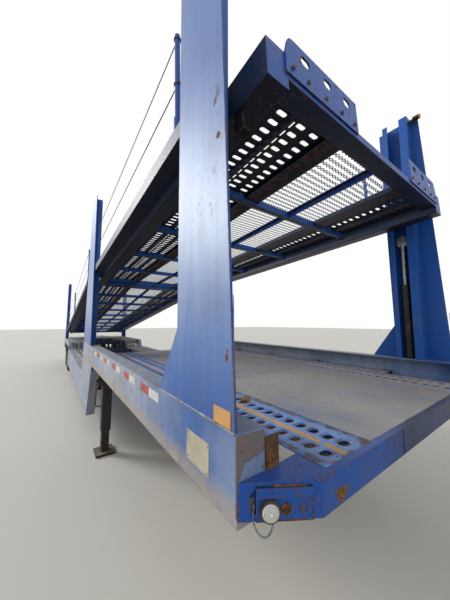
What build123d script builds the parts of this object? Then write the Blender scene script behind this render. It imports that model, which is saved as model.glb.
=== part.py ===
"""Two-deck car transporter semi-trailer, standing on its landing legs with no tractor.

Frame: +X to the front of the trailer, +Y to its left, +Z up, on the ground under the middle.
Sizes are in millimetres. A place along the trailer is given as its distance behind the front sill.
"""
from build123d import *
import os
from math import cos, radians, sin, tan

os.makedirs("parts", exist_ok=True)

# Overall sizes
LENGTH = 13750.0          # front sill to rear bumper
WIDTH = 2500.0            # over the outer side plates
PLATE = 10.0              # outer side plates
SHEET = 8.0               # folded sections and floor plates
GAP = 0.3                 # between pieces that seat on each other
RUNNING = 0.5             # between a shaft and its bearing, or a shoe and its guide

FRONT = LENGTH / 2
HALF = WIDTH / 2
INNER = HALF - PLATE      # inner face of the side plates
FRAME_HALF = INNER - GAP  # half width of what is welded between the side plates
RIGHT, LEFT = -1, 1
SIDES = ((RIGHT, "right"), (LEFT, "left"))

# Heights above the ground
NECK_TOP = 1437.0         # top of the gooseneck's side rail
NECK_BOTTOM = 1163.0
SILL_TOP = 1297.0         # front sill, and the front platform's floor
SILL_BOTTOM = 1186.0
WELL_TOP = 880.0          # side rail of the low middle part
WELL_BOTTOM = 360.0
REAR_TOP = 1120.0         # side rail over the wheels
REAR_BOTTOM = 940.0
POST_TOP = 3930.0
REAR_POST_TOP = 3550.0

# Distances behind the front sill
CORNER = 140.0            # length of the chamfered front corner
CORNER_IN = 230.0         # and how far it comes in from the side
STEP_FRONT = 3600.0       # upper corner of the arch behind the tractor's wheels
STEP_FOOT = 3950.0        # where the side plate reaches the well's bottom edge
STEP_BACK = 4960.0        # rear edge of the middle post's base plate
STEP_BACK_TOP = 4790.0
ARCH_RADIUS = 160.0
WELL_END = LENGTH - 4000  # where the side rail rises over the wheels
RISE = 120.0
RAIL_FLANGE = 110.0       # width of the rails' folded edges


def at(distance):
    """X of a place that lies a distance behind the front sill."""
    return FRONT - distance


def side_plane(side, near, far):
    """Upright plane along the trailer: extruded by far - near, it fills |y| from near to far."""
    return Plane.XZ.offset(near if side == RIGHT else -far)


def save(piece, node):
    """Label a finished piece and write it under its node's name."""
    piece.label = node
    export_step(piece, "parts/" + node + ".step")


def block(front, back, inner, outer, low, high, side=RIGHT, mode=Mode.ADD):
    """Add a box from front to back behind the sill, |y| from inner to outer, z from low to high."""
    with Locations((at((front + back) / 2), side * (inner + outer) / 2, (low + high) / 2)):
        Box(back - front, outer - inner, high - low, mode=mode)


def across(front, back, half_width, low, high, mode=Mode.ADD):
    """Add a box that runs across the trailer, half_width to each side of its middle."""
    with Locations((at((front + back) / 2), 0, (low + high) / 2)):
        Box(back - front, 2 * half_width, high - low, mode=mode)


# Side frames: one outer plate from the gooseneck down to the well and up over the wheels,
# with folded edges all round
SIDE_OUTLINE = (
    (CORNER, NECK_BOTTOM), (STEP_FRONT, NECK_BOTTOM), (STEP_FOOT, WELL_BOTTOM), (WELL_END, WELL_BOTTOM),
    (WELL_END + RISE, REAR_BOTTOM), (LENGTH, REAR_BOTTOM), (LENGTH, REAR_TOP), (WELL_END, REAR_TOP),
    (WELL_END - RISE, WELL_TOP), (STEP_BACK, WELL_TOP), (STEP_BACK_TOP, NECK_TOP), (CORNER, NECK_TOP),
)

for side, word in SIDES:
    with BuildPart() as side_frame:
        with BuildSketch(side_plane(side, INNER, HALF)) as outline:
            with BuildLine():
                Polyline([(at(u), z) for u, z in SIDE_OUTLINE], close=True)
            make_face()
            arch = outline.vertices().sort_by_distance((at(STEP_FRONT), NECK_BOTTOM))[0]
            fillet(arch, ARCH_RADIUS)
        extrude(amount=PLATE)
        with BuildSketch(side_plane(side, INNER - RAIL_FLANGE, INNER)) as rim:
            with BuildLine():
                Polyline([(at(u), z) for u, z in SIDE_OUTLINE], close=True)
            make_face()
            arch = rim.vertices().sort_by_distance((at(STEP_FRONT), NECK_BOTTOM))[0]
            fillet(arch, ARCH_RADIUS)
            offset(amount=-PLATE, kind=Kind.INTERSECTION, mode=Mode.SUBTRACT)
        extrude(amount=RAIL_FLANGE)
    save(side_frame.part, "side_frame_" + word)

# Front sill: a box beam across the front with chamfered corners and a lamp pocket in each chamfer
SILL_DEPTH = 150.0
SILL_CHEEK = 125.0        # width of the sill's end behind the chamfer
FLOOR = SILL_TOP - SHEET  # underside of the floor plates
PLATFORM_FRONT = 32.0
POCKET_LONG, POCKET_HIGH, POCKET_DEEP = 190.0, 78.0, 12.0
POCKET_END = 30.0         # radius of the pocket's corners
LAMP_RADIUS, LAMP_RIM = 26.0, 31.0
LAMP_DEEP, LENS_DEEP = 44.0, 11.0       # the lamp stands out of its pocket on a rubber arm
SILL_TURN = 60.0          # the cheeks run in to the sill's rear face over this width

SILL_MIDDLE = (SILL_TOP + SILL_BOTTOM) / 2
SILL_HALF = HALF - CORNER_IN


def corner_plane(side, depth=0.0):
    """Plane on the chamfered corner's face, facing outwards, moved in by depth."""
    facing = Vector(CORNER_IN, side * CORNER, 0).normalized()
    along = Vector(-side * facing.Y, side * facing.X, 0)
    middle = Vector(at(CORNER / 2), side * (HALF - CORNER_IN / 2), SILL_MIDDLE)
    return Plane(origin=middle - facing * depth, x_dir=along, z_dir=facing)


with BuildPart() as front_sill:
    with BuildSketch(Plane.XY.offset(SILL_BOTTOM)):
        with BuildLine():
            Polyline([(at(0), SILL_HALF), (at(CORNER - GAP), HALF), (at(CORNER - GAP), HALF - SILL_CHEEK),
                      (at(SILL_DEPTH), SILL_HALF - SILL_TURN), (at(SILL_DEPTH), SILL_TURN - SILL_HALF),
                      (at(CORNER - GAP), SILL_CHEEK - HALF), (at(CORNER - GAP), -HALF), (at(0), -SILL_HALF)],
                     close=True)
        make_face()
    extrude(amount=SILL_TOP - SILL_BOTTOM)
    # rebate behind the front edge for the floor plates
    across(PLATFORM_FRONT - 2, SILL_DEPTH + 1, SILL_HALF - SILL_TURN, FLOOR - GAP, SILL_TOP, Mode.SUBTRACT)
    for side, word in SIDES:
        with BuildSketch(corner_plane(side, -POCKET_DEEP)):
            RectangleRounded(POCKET_LONG, POCKET_HIGH, POCKET_END)
        extrude(amount=-2 * POCKET_DEEP, mode=Mode.SUBTRACT)
save(front_sill.part, "front_sill")

LAMP_SHIFT = 43.0         # from the middle of the chamfer towards the side
with BuildPart() as front_lamps:
    for side, word in SIDES:
        with BuildSketch(corner_plane(side, POCKET_DEEP - GAP)):
            with Locations((LAMP_SHIFT, 0)):
                Circle(LAMP_RIM)
        extrude(amount=LAMP_DEEP)
        with BuildSketch(corner_plane(side, POCKET_DEEP - GAP - LAMP_DEEP)):
            with Locations((LAMP_SHIFT, 0)):
                Circle(LAMP_RADIUS)
        extrude(amount=LENS_DEEP)
save(front_lamps.part, "front_lamps")

# Kingpin plate, its bent front lip and the kingpin
PIN_PLATE_FRONT, PIN_PLATE_BACK = 310.0, 2000.0
PIN_PLATE_HALF = 620.0
PIN_PLATE_LOW = 1090.0
PIN_BACK = 1150.0         # kingpin behind the front sill
PIN_RADIUS = 25.4
PIN_HEAD_RADIUS = 36.5
PIN_LENGTH = 84.0
PIN_NECK = 35.0           # the neck's length, then where the head starts and ends
PIN_HEAD_TOP = 43.0
PIN_HEAD_LOW = 78.0
PIN_EDGE = 6.0            # chamfer at the head's end
LIP_HALF = 1020.0
LIP_FRONT, LIP_TURN = 20.0, 32.0        # front edge of the lip, and where its lower side starts
LIP_SQUARE = 60.0         # the lip narrows behind this

with BuildPart() as kingpin_plate:
    across(PIN_PLATE_FRONT, PIN_PLATE_BACK, PIN_PLATE_HALF, PIN_PLATE_LOW, PIN_PLATE_LOW + SHEET)
    with BuildSketch(Plane.XZ):
        with BuildLine():
            Polyline([(at(LIP_FRONT), SILL_BOTTOM - GAP), (at(LIP_TURN), SILL_BOTTOM - GAP),
                      (at(PIN_PLATE_FRONT), PIN_PLATE_LOW + SHEET), (at(PIN_PLATE_FRONT), PIN_PLATE_LOW)],
                     close=True)
        make_face()
    extrude(amount=LIP_HALF, both=True)
    for side, word in SIDES:
        with BuildSketch(Plane.XY.offset(SILL_BOTTOM)):
            with BuildLine():
                Polyline([(at(LIP_SQUARE), side * (LIP_HALF + 5)),
                          (at(PIN_PLATE_FRONT + 5), side * (LIP_HALF + 5)),
                          (at(PIN_PLATE_FRONT + 5), side * PIN_PLATE_HALF)], close=True)
            make_face()
        extrude(amount=-(SILL_BOTTOM - PIN_PLATE_LOW + 5), mode=Mode.SUBTRACT)
        block(PIN_PLATE_FRONT, PIN_PLATE_BACK, PIN_PLATE_HALF - SHEET, PIN_PLATE_HALF,
              PIN_PLATE_LOW + SHEET, SILL_BOTTOM - GAP, side)
    with Locations((at(PIN_BACK), 0, PIN_PLATE_LOW)):
        Hole(PIN_RADIUS, depth=2 * SHEET)
save(kingpin_plate.part, "kingpin_plate")

with BuildPart() as kingpin:
    with BuildSketch(Plane(origin=(at(PIN_BACK), 0, PIN_PLATE_LOW - GAP), x_dir=(1, 0, 0), z_dir=(0, -1, 0))):
        with BuildLine():
            Polyline([(0, 0), (PIN_RADIUS, 0), (PIN_RADIUS, -PIN_NECK), (PIN_HEAD_RADIUS, -PIN_HEAD_TOP),
                      (PIN_HEAD_RADIUS, -PIN_HEAD_LOW), (PIN_HEAD_RADIUS - PIN_EDGE, -PIN_LENGTH),
                      (0, -PIN_LENGTH)], close=True)
        make_face()
    revolve(axis=Axis((at(PIN_BACK), 0, 0), (0, 0, 1)))
save(kingpin.part, "kingpin")

# Frame under the front platform
BEAM_IN = 560.0           # inner and outer faces of the two long beams
BEAM_OUT = 640.0
PLATFORM_BACK = 3800.0
NECK_BEAM_BACK = PLATFORM_BACK - 20
NECK_CROSS = (650.0, 1500.0, 2350.0, 3200.0)
CROSS_WIDE = 80.0


def cross_channel(place, half_width, low, high):
    """Add a channel across the trailer, its web in front and its open side to the rear."""
    across(place, place + CROSS_WIDE, half_width, low, high)
    across(place + SHEET, place + CROSS_WIDE + 1, half_width, low + SHEET, high - SHEET, Mode.SUBTRACT)


with BuildPart() as gooseneck_frame:
    for place in NECK_CROSS:
        cross_channel(place, FRAME_HALF, SILL_BOTTOM, FLOOR - GAP)
    for side, word in SIDES:
        block(SILL_DEPTH + GAP, NECK_BEAM_BACK, BEAM_IN, BEAM_OUT, SILL_BOTTOM, FLOOR - GAP, side)
save(gooseneck_frame.part, "gooseneck_frame")

# Front platform: a perforated track on each side and smooth plates between them
TRACK_IN = 630.0
TRACK_OUT = 1120.0
FOOT_CLEAR = 620.0        # the track is narrower beside the front post's foot
FOOT_OUT = 950.0
SLOT_WIDE = 62.0          # across the track
TRACK_ROWS = (735.0, 865.0)             # |y| of the rows of slots, and of the third one
OUTER_ROW = 1010.0
SECTION_LONG = 1266.0     # length of a centre plate of the platform
GROUP_LONG, GROUP_PITCH = 210.0, 282.0


def long_slots(level, front, back, rows, side):
    """Cut rows of slots through a level track from front to back: rows holds the |y| of each row.
    Each slot stands for a group of the real ones."""
    count = int((back - front) / GROUP_PITCH)
    places = [(at(front + (i + 0.5) * GROUP_PITCH), side * row, level) for row in rows for i in range(count)]
    with Locations(places):
        Box(GROUP_LONG, SLOT_WIDE, 4 * SHEET, mode=Mode.SUBTRACT)


with BuildPart() as front_platform_tracks:
    for side, word in SIDES:
        block(PLATFORM_FRONT, PLATFORM_BACK, TRACK_IN, FOOT_OUT, FLOOR, SILL_TOP, side)
        block(FOOT_CLEAR, PLATFORM_BACK, FOOT_OUT, TRACK_OUT, FLOOR, SILL_TOP, side)
        long_slots(FLOOR, PLATFORM_FRONT + 18, PLATFORM_BACK - 50, TRACK_ROWS, side)
        long_slots(FLOOR, FOOT_CLEAR + 30, PLATFORM_BACK - 50, (OUTER_ROW,), side)
save(front_platform_tracks.part, "front_platform_tracks")

with BuildPart() as front_platform_centre:
    for front in (PLATFORM_FRONT, PLATFORM_FRONT + SECTION_LONG, PLATFORM_FRONT + 2 * SECTION_LONG):
        across(front, min(front + SECTION_LONG - 6, PLATFORM_BACK), TRACK_IN - 4, FLOOR, SILL_TOP)
save(front_platform_centre.part, "front_platform_centre")

# Low middle part: cross members between the side rails, and a track on each side
WELL_FLOOR = WELL_TOP - 10
WELL_CROSS_LOW = 640.0
WELL_CROSS_FIRST, WELL_CROSS_LAST = 4300.0, WELL_END - 250
BAY = 870.0               # about the distance between cross members
BAYS = round((WELL_CROSS_LAST - WELL_CROSS_FIRST) / BAY)
WELL_CROSS = [WELL_CROSS_FIRST + i * (WELL_CROSS_LAST - WELL_CROSS_FIRST) / BAYS for i in range(BAYS + 1)]
STEP_TRACK_BACK = 4500.0
RAMP_FOOT, RAMP_HEAD = WELL_END - 190, WELL_END + 150    # the tracks' slope up to the rear part

with BuildPart() as well_frame:
    for place in WELL_CROSS:
        cross_channel(place, FRAME_HALF, WELL_CROSS_LOW, WELL_FLOOR - SHEET - GAP)
    for side, word in SIDES:
        block(WELL_CROSS[0] + CROSS_WIDE - SHEET, WELL_CROSS[-1] + SHEET, BEAM_IN, BEAM_OUT,
              WELL_CROSS_LOW, WELL_FLOOR - SHEET - GAP, side)
        for place in WELL_CROSS:
            block(place - 5, place + CROSS_WIDE + 5, INNER - RAIL_FLANGE - GAP, INNER + 1,
                  WELL_TOP - PLATE - GAP, WELL_TOP + 100, side, Mode.SUBTRACT)
save(well_frame.part, "well_frame")

WELL_TRACK_OUT = INNER - RAIL_FLANGE - 2
with BuildPart() as well_tracks:
    for side, word in SIDES:
        with BuildSketch(side_plane(side, TRACK_IN, WELL_TRACK_OUT)):
            with BuildLine():
                Polyline([(at(PLATFORM_BACK + 2), SILL_TOP), (at(STEP_TRACK_BACK), WELL_FLOOR),
                          (at(RAMP_FOOT), WELL_FLOOR), (at(RAMP_HEAD), REAR_TOP - 10),
                          (at(RAMP_HEAD), REAR_TOP - 10 - SHEET), (at(RAMP_FOOT + 2), WELL_FLOOR - SHEET),
                          (at(STEP_TRACK_BACK - 2), WELL_FLOOR - SHEET), (at(PLATFORM_BACK + 2), FLOOR)],
                         close=True)
            make_face()
        extrude(amount=WELL_TRACK_OUT - TRACK_IN)
        long_slots(WELL_FLOOR, STEP_TRACK_BACK + 100, RAMP_FOOT - 100, (*TRACK_ROWS, OUTER_ROW), side)
save(well_tracks.part, "well_tracks")

# Rear part over the wheels
REAR_FLOOR = REAR_TOP - 10
REAR_BEAM_LOW = 900.0
REAR_CROSS_LOW = 960.0
SPRING_Y = 500.0          # |y| of the springs and of the long beams over them
SPRING_BEAM = 40.0        # half width of those beams
AXLES = (LENGTH - 3050, LENGTH - 1740)
REAR_CROSS = (WELL_END + 210, AXLES[0] + 600, LENGTH - 1050, LENGTH - 250)
AXLE_HEIGHT = 393.0

with BuildPart() as rear_frame:
    for side, word in SIDES:
        block(WELL_CROSS[-1] + CROSS_WIDE + GAP, LENGTH - 20, SPRING_Y - SPRING_BEAM, SPRING_Y + SPRING_BEAM,
              REAR_BEAM_LOW, REAR_FLOOR - SHEET - GAP, side)
    for place in REAR_CROSS:
        across(place, place + CROSS_WIDE, FRAME_HALF, REAR_CROSS_LOW, REAR_FLOOR - SHEET - GAP)
save(rear_frame.part, "rear_frame")

with BuildPart() as rear_tracks:
    for side, word in SIDES:
        block(RAMP_HEAD + 2, LENGTH - 20, TRACK_IN, WELL_TRACK_OUT, REAR_FLOOR - SHEET, REAR_FLOOR, side)
        long_slots(REAR_FLOOR, RAMP_HEAD + 100, LENGTH - 120, (*TRACK_ROWS, OUTER_ROW), side)
save(rear_tracks.part, "rear_tracks")

# Posts: a tapered outer plate and an open channel that guides the upper deck
CHANNEL_DEEP = 100.0
CHANNEL_IN = INNER - CHANNEL_DEEP
# outline of the plate as (behind the sill, height), then the channel's front and back, and its lips
FRONT_POST = ((150, NECK_TOP), (270, POST_TOP), (630, POST_TOP), (600, 1760), (820, NECK_TOP))
MIDDLE_POST = ((3800, NECK_TOP), (3950, POST_TOP), (4450, POST_TOP), (4790, NECK_TOP))
REAR_POST = ((LENGTH - 1350, REAR_TOP), (LENGTH - 1270, REAR_POST_TOP), (LENGTH - 900, REAR_POST_TOP),
             (LENGTH - 750, REAR_TOP))
POSTS = (
    # name, plate outline, channel front, channel back, front lip, rear lip
    ("post_front", FRONT_POST, 335.0, 560.0, 70.0, 45.0),
    ("post_middle", MIDDLE_POST, 4080.0, 4305.0, 70.0, 45.0),
    ("post_rear", REAR_POST, LENGTH - 1215, LENGTH - 955, 15.0, 35.0),
)

for name, outline, front, back, front_lip, back_lip in POSTS:
    base = outline[0][1]
    top = outline[1][1]
    for side, word in SIDES:
        with BuildPart() as post:
            with BuildSketch(side_plane(side, INNER, HALF)):
                with BuildLine():
                    Polyline([(at(u), z + (GAP if z == base else 0)) for u, z in outline], close=True)
                make_face()
            extrude(amount=PLATE)
            low = base + GAP
            block(front, front + SHEET, CHANNEL_IN, INNER, low, top, side)
            block(back - SHEET, back, CHANNEL_IN, INNER, low, top, side)
            block(front, front + front_lip, CHANNEL_IN, CHANNEL_IN + SHEET, low, top, side)
            block(back - back_lip, back, CHANNEL_IN, CHANNEL_IN + SHEET, low, top, side)
        save(post.part, name + "_" + word)

# Lift cylinders inside the front and middle posts: tube, rod and rope wheel
TUBE_RADIUS = 35.0
TUBE_HIGH = 740.0
ROD_RADIUS = 20.0
WHEEL_RADIUS = 57.0
WHEEL_THICK = 26.0
ROD_FOOT = 60.0           # the rods' lower ends above the tubes' feet
LIFTS = (("front", 462.0, 2630.0), ("middle", 4207.0, 2400.0))   # name, place, height of the rope wheel
LIFT_Y = CHANNEL_IN + SHEET + 46.0

with BuildPart() as lift_cylinder_tubes:
    for name, place, wheel_height in LIFTS:
        for side, word in SIDES:
            with Locations((at(place), side * LIFT_Y, NECK_TOP + GAP)):
                Cylinder(TUBE_RADIUS, TUBE_HIGH, align=(Align.CENTER, Align.CENTER, Align.MIN))
                Cylinder(ROD_RADIUS + 1, TUBE_HIGH, align=(Align.CENTER, Align.CENTER, Align.MIN),
                         mode=Mode.SUBTRACT)
save(lift_cylinder_tubes.part, "lift_cylinder_tubes")

for name, place, wheel_height in LIFTS:
    with BuildPart() as lift_rods:
        rod_low = NECK_TOP + ROD_FOOT
        for side, word in SIDES:
            with Locations((at(place), side * LIFT_Y, rod_low)):
                Cylinder(ROD_RADIUS, wheel_height - rod_low, align=(Align.CENTER, Align.CENTER, Align.MIN))
            with Locations((at(place), side * LIFT_Y, wheel_height)):
                Cylinder(WHEEL_RADIUS, WHEEL_THICK, rotation=(90, 0, 0))
    save(lift_rods.part, "lift_rods_" + name)

# Landing legs
LEG_BACK = 3400.0
LEG_Y = 1060.0
LEG_WIDE = 120.0
LEG_TOP = SILL_BOTTOM - 20
LEG_OUTER_LOW = 300.0     # lower end of the outer tube
LEG_INNER_WIDE = LEG_WIDE - 24
FOOT_LONG, FOOT_WIDE, FOOT_HIGH = 260.0, 240.0, 30.0
LEG_HEAD_HALF = 130.0     # half length of the plate that hangs the leg on the rail
BRACE_HEIGHT, BRACE_RADIUS = 900.0, 22.0

with BuildPart() as landing_legs:
    for side, word in SIDES:
        for wide, deep, low, high in ((LEG_WIDE, LEG_WIDE, LEG_OUTER_LOW, LEG_TOP - GAP),
                                      (LEG_INNER_WIDE, LEG_INNER_WIDE, FOOT_HIGH, LEG_OUTER_LOW + FOOT_HIGH),
                                      (FOOT_LONG, FOOT_WIDE, 0, FOOT_HIGH)):
            with Locations((at(LEG_BACK), side * LEG_Y, low)):
                Box(wide, deep, high - low, align=(Align.CENTER, Align.CENTER, Align.MIN))
        block(LEG_BACK - LEG_HEAD_HALF, LEG_BACK + LEG_HEAD_HALF, LEG_Y - LEG_WIDE / 2, LEG_Y + LEG_WIDE / 2,
              LEG_TOP - 10, SILL_BOTTOM - GAP, side)
    with Locations((at(LEG_BACK), 0, BRACE_HEIGHT)):
        Cylinder(BRACE_RADIUS, 2 * LEG_Y, rotation=(90, 0, 0))
save(landing_legs.part, "landing_legs")

# Axles, springs and twin wheels
TYRE_RADIUS = 393.0
TYRE_WIDE = 245.0
RIM_RADIUS = 222.0
OUTER_TYRE = 1105.0       # |y| of the tyres' middles
INNER_TYRE = 825.0
AXLE_SECTION = 120.0
AXLE_HALF, STUB_HALF = 640.0, 1090.0    # half lengths of the beam and of the stubs
HUB_RADIUS = 105.0
STUB_RADIUS = 45.0
SPRING_WIDE = 76.0
SPRING_HALF = 470.0       # half length, and how far the ends stand above the middle
SPRING_CAMBER = 150.0
SPRING_DEEP, SPRING_END = 70.0, 30.0    # thickness in the middle and at the ends
HANGER_PLACE = 480.0      # hangers from the axle, and half their width below and above
HANGER_FOOT, HANGER_HEAD = 35.0, 80.0
HANGER_LOW = 120.0        # their lower edge above the spring's middle

for name, place in zip(("front", "rear"), AXLES):
    with BuildPart() as axle:
        with Locations((at(place), 0, AXLE_HEIGHT)):
            Box(AXLE_SECTION, 2 * AXLE_HALF, AXLE_SECTION)
            Cylinder(STUB_RADIUS, 2 * STUB_HALF, rotation=(90, 0, 0))
    save(axle.part, "axle_" + name)

with BuildPart() as springs:
    for place in AXLES:
        for side, word in SIDES:
            low = AXLE_HEIGHT + AXLE_SECTION / 2 + GAP
            ends = (at(place - SPRING_HALF), at(place + SPRING_HALF))
            with BuildSketch(side_plane(side, SPRING_Y - SPRING_WIDE / 2, SPRING_Y + SPRING_WIDE / 2)):
                with BuildLine():
                    low_arc = ThreePointArc((ends[0], low + SPRING_CAMBER), (at(place), low),
                                            (ends[1], low + SPRING_CAMBER))
                    high_arc = ThreePointArc((ends[0], low + SPRING_CAMBER + SPRING_END),
                                             (at(place), low + SPRING_DEEP),
                                             (ends[1], low + SPRING_CAMBER + SPRING_END))
                    Line(low_arc @ 0, high_arc @ 0)
                    Line(low_arc @ 1, high_arc @ 1)
                make_face()
            extrude(amount=SPRING_WIDE)
            for hanger in (place - HANGER_PLACE, place + HANGER_PLACE):
                with BuildSketch(side_plane(side, SPRING_Y - SPRING_BEAM + 1, SPRING_Y + SPRING_BEAM - 1)):
                    with BuildLine():
                        Polyline([(at(hanger - HANGER_FOOT), low + HANGER_LOW),
                                  (at(hanger + HANGER_FOOT), low + HANGER_LOW),
                                  (at(hanger + HANGER_HEAD), REAR_BEAM_LOW - GAP),
                                  (at(hanger - HANGER_HEAD), REAR_BEAM_LOW - GAP)], close=True)
                    make_face()
                extrude(amount=2 * SPRING_BEAM - 2)
save(springs.part, "springs")


TYRE_FLATS = 36           # the worn tread has this many flats
SHOULDER = (26.0, 46.0)   # across the tread and down the side wall
DRUM_IN, DRUM_OUT = 725.0, 1205.0   # |y| of the rims' inner and outer edges
RIM_THICK = 12.0
DISC_THICK = 30.0
HUB_IN, HUB_OUT = 860.0, 1180.0
HAND_HOLES, HAND_HOLE_RADIUS = 8, 24.0
HAND_HOLE_RING = 160.0    # radius of the ring they lie on
TWIN_MIDDLE = (OUTER_TYRE + INNER_TYRE) / 2


def many_sided(place, side, near, far, radius, mode=Mode.ADD):
    """Add a plate with TYRE_FLATS flats on a wheel's axis, |y| from near to far."""
    with BuildSketch(side_plane(side, near, far)) as plate:
        with Locations((at(place), AXLE_HEIGHT)):
            RegularPolygon(radius, TYRE_FLATS)
    extrude(plate.sketch, amount=far - near, mode=mode)


for name, place in zip(("front", "rear"), AXLES):
    for side, word in SIDES:
        with BuildPart() as tyres:
            for middle in (OUTER_TYRE, INNER_TYRE):
                near, far = middle - TYRE_WIDE / 2, middle + TYRE_WIDE / 2
                many_sided(place, side, near, far, TYRE_RADIUS)
                for end in (near, far):
                    tread_edge = tyres.edges().filter_by_position(Axis.Y, side * end - 1, side * end + 1)
                    walls = tyres.faces().filter_by(Axis.Y)
                    wall = walls.sort_by_distance((at(place), side * end, AXLE_HEIGHT))[0]
                    chamfer(tread_edge, SHOULDER[1], SHOULDER[0], reference=wall)
            many_sided(place, side, INNER_TYRE - TYRE_WIDE, OUTER_TYRE + TYRE_WIDE, RIM_RADIUS, Mode.SUBTRACT)
        save(tyres.part, "tyres_" + name + "_" + word)

        with BuildPart() as twin_wheels:
            many_sided(place, side, DRUM_IN, DRUM_OUT, RIM_RADIUS - GAP)
            many_sided(place, side, DRUM_IN, DRUM_OUT, RIM_RADIUS - RIM_THICK, Mode.SUBTRACT)
            many_sided(place, side, TWIN_MIDDLE - DISC_THICK / 2, TWIN_MIDDLE + DISC_THICK / 2,
                       RIM_RADIUS - RIM_THICK / 2)
            with BuildSketch(side_plane(side, TWIN_MIDDLE - DISC_THICK, TWIN_MIDDLE + DISC_THICK)) as holes:
                with Locations((at(place), AXLE_HEIGHT)):
                    with PolarLocations(HAND_HOLE_RING, HAND_HOLES):
                        Circle(HAND_HOLE_RADIUS)
            extrude(holes.sketch, amount=2 * DISC_THICK, mode=Mode.SUBTRACT)
            with Locations((at(place), side * (HUB_IN + HUB_OUT) / 2, AXLE_HEIGHT)):
                Cylinder(HUB_RADIUS, HUB_OUT - HUB_IN, rotation=(90, 0, 0))
                Cylinder(STUB_RADIUS + RUNNING, HUB_OUT - HUB_IN, rotation=(90, 0, 0), mode=Mode.SUBTRACT)
        save(twin_wheels.part, "wheels_" + name + "_" + word)

# Mudguards over the twin wheels
GUARD_RADIUS = 446.0
GUARD_SHEET = 4.0
GUARD_HALF_ANGLE = 68.0
GUARD_IN, GUARD_OUT = 690.0, INNER - 4
GUARD_BRACKET_LONG, GUARD_BRACKET_WIDE = 40.0, 56.0

with BuildPart() as mudguards:
    for place in AXLES:
        for side, word in SIDES:
            with BuildSketch(side_plane(side, GUARD_IN, GUARD_OUT)):
                for radius, mode in ((GUARD_RADIUS + GUARD_SHEET, Mode.ADD), (GUARD_RADIUS, Mode.SUBTRACT)):
                    with BuildLine():
                        wing = CenterArc((at(place), AXLE_HEIGHT), radius, 90 - GUARD_HALF_ANGLE,
                                         2 * GUARD_HALF_ANGLE)
                        Line(wing @ 0, (at(place), AXLE_HEIGHT))
                        Line(wing @ 1, (at(place), AXLE_HEIGHT))
                    make_face(mode=mode)
            extrude(amount=GUARD_OUT - GUARD_IN)
            # bracket up to the side rail
            block(place - GUARD_BRACKET_LONG / 2, place + GUARD_BRACKET_LONG / 2,
                  GUARD_OUT - GUARD_BRACKET_WIDE, GUARD_OUT,
                  AXLE_HEIGHT + GUARD_RADIUS + 1, REAR_BOTTOM - GAP, side)
save(mudguards.part, "mudguards")

# Rear bumper and lamps
BUMPER_LOW, BUMPER_HIGH = 440.0, 560.0
BUMPER_DEEP = 60.0
BUMPER_HALF = 1190.0
LAMP_PLATE = LENGTH - 20                # rear face of the plates that carry the lamps
LAMP_PLATE_IN, LAMP_PLATE_OUT = 960.0, 1235.0
LAMP_PLATE_LOW = 620.0
LENS_WIDE, LENS_HIGH = 70.0, 110.0
LENS_HEIGHT = 760.0
LENS_Y = (1010.0, 1084.0, 1158.0)       # |y| of the three lenses of a lamp
LENS_EDGE = 12.0

with BuildPart() as rear_bumper:
    across(LENGTH - BUMPER_DEEP, LENGTH, BUMPER_HALF, BUMPER_LOW, BUMPER_HIGH)
    for side, word in SIDES:
        block(LENGTH - BUMPER_DEEP, LENGTH - 10, SPRING_Y - SPRING_BEAM, SPRING_Y + SPRING_BEAM,
              BUMPER_HIGH, REAR_BEAM_LOW - GAP, side)
        block(LAMP_PLATE - 10, LAMP_PLATE, LAMP_PLATE_IN, LAMP_PLATE_OUT,
              LAMP_PLATE_LOW, REAR_BOTTOM - GAP, side)
    across(LENGTH - 20 + GAP, LENGTH - 8, INNER - RAIL_FLANGE - 2, REAR_CROSS_LOW, REAR_FLOOR - SHEET - GAP)
save(rear_bumper.part, "rear_bumper")

with BuildPart() as tail_lamps:
    for side, word in SIDES:
        with BuildSketch(Plane.YZ.offset(at(LAMP_PLATE) - GAP)):
            with Locations([(side * y, LENS_HEIGHT) for y in LENS_Y]):
                lenses = Rectangle(LENS_WIDE, LENS_HIGH)
            chamfer(lenses.vertices(), LENS_EDGE)
        extrude(amount=GAP - 20)
save(tail_lamps.part, "tail_lamps")

# Side marker lamps under the rails' top edges
MARKERS = (               # place, height, on both sides
    (3050, 1396), (5165, 766), (7120, 766), (WELL_END - 750, 766), (AXLES[0], 1030), (LENGTH - 450, 1030),
)
MARKER_LONG, MARKER_HIGH, MARKER_THICK = 100.0, 40.0, 4.0
with BuildPart() as side_marker_lamps:
    for place, height in MARKERS:
        for side, word in SIDES:
            with BuildSketch(side_plane(side, HALF, HALF + MARKER_THICK)):
                with Locations((at(place), height)):
                    lens = Rectangle(MARKER_LONG, MARKER_HIGH)
                chamfer(lens.vertices(), LENS_EDGE)
            extrude(amount=MARKER_THICK)
save(side_marker_lamps.part, "side_marker_lamps")

# Lamps on brackets at the tops of the front posts
POST_LAMP_RADIUS, POST_LAMP_LONG = 24.0, 50.0
POST_LAMP_PLACE, POST_LAMP_Y, POST_LAMP_HEIGHT = 270.0, HALF - 50, POST_TOP - 40
with BuildPart() as post_lamps:
    for side, word in SIDES:
        block(POST_LAMP_PLACE + 15, POSTS[0][2] - GAP, POST_LAMP_Y - 10, POST_LAMP_Y + 10,
              POST_LAMP_HEIGHT - 30, POST_LAMP_HEIGHT, side)
        with Locations((at(POST_LAMP_PLACE), side * POST_LAMP_Y, POST_LAMP_HEIGHT)):
            Cylinder(POST_LAMP_RADIUS, POST_LAMP_LONG, rotation=(0, 90, 0))
save(post_lamps.part, "post_lamps")

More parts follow.
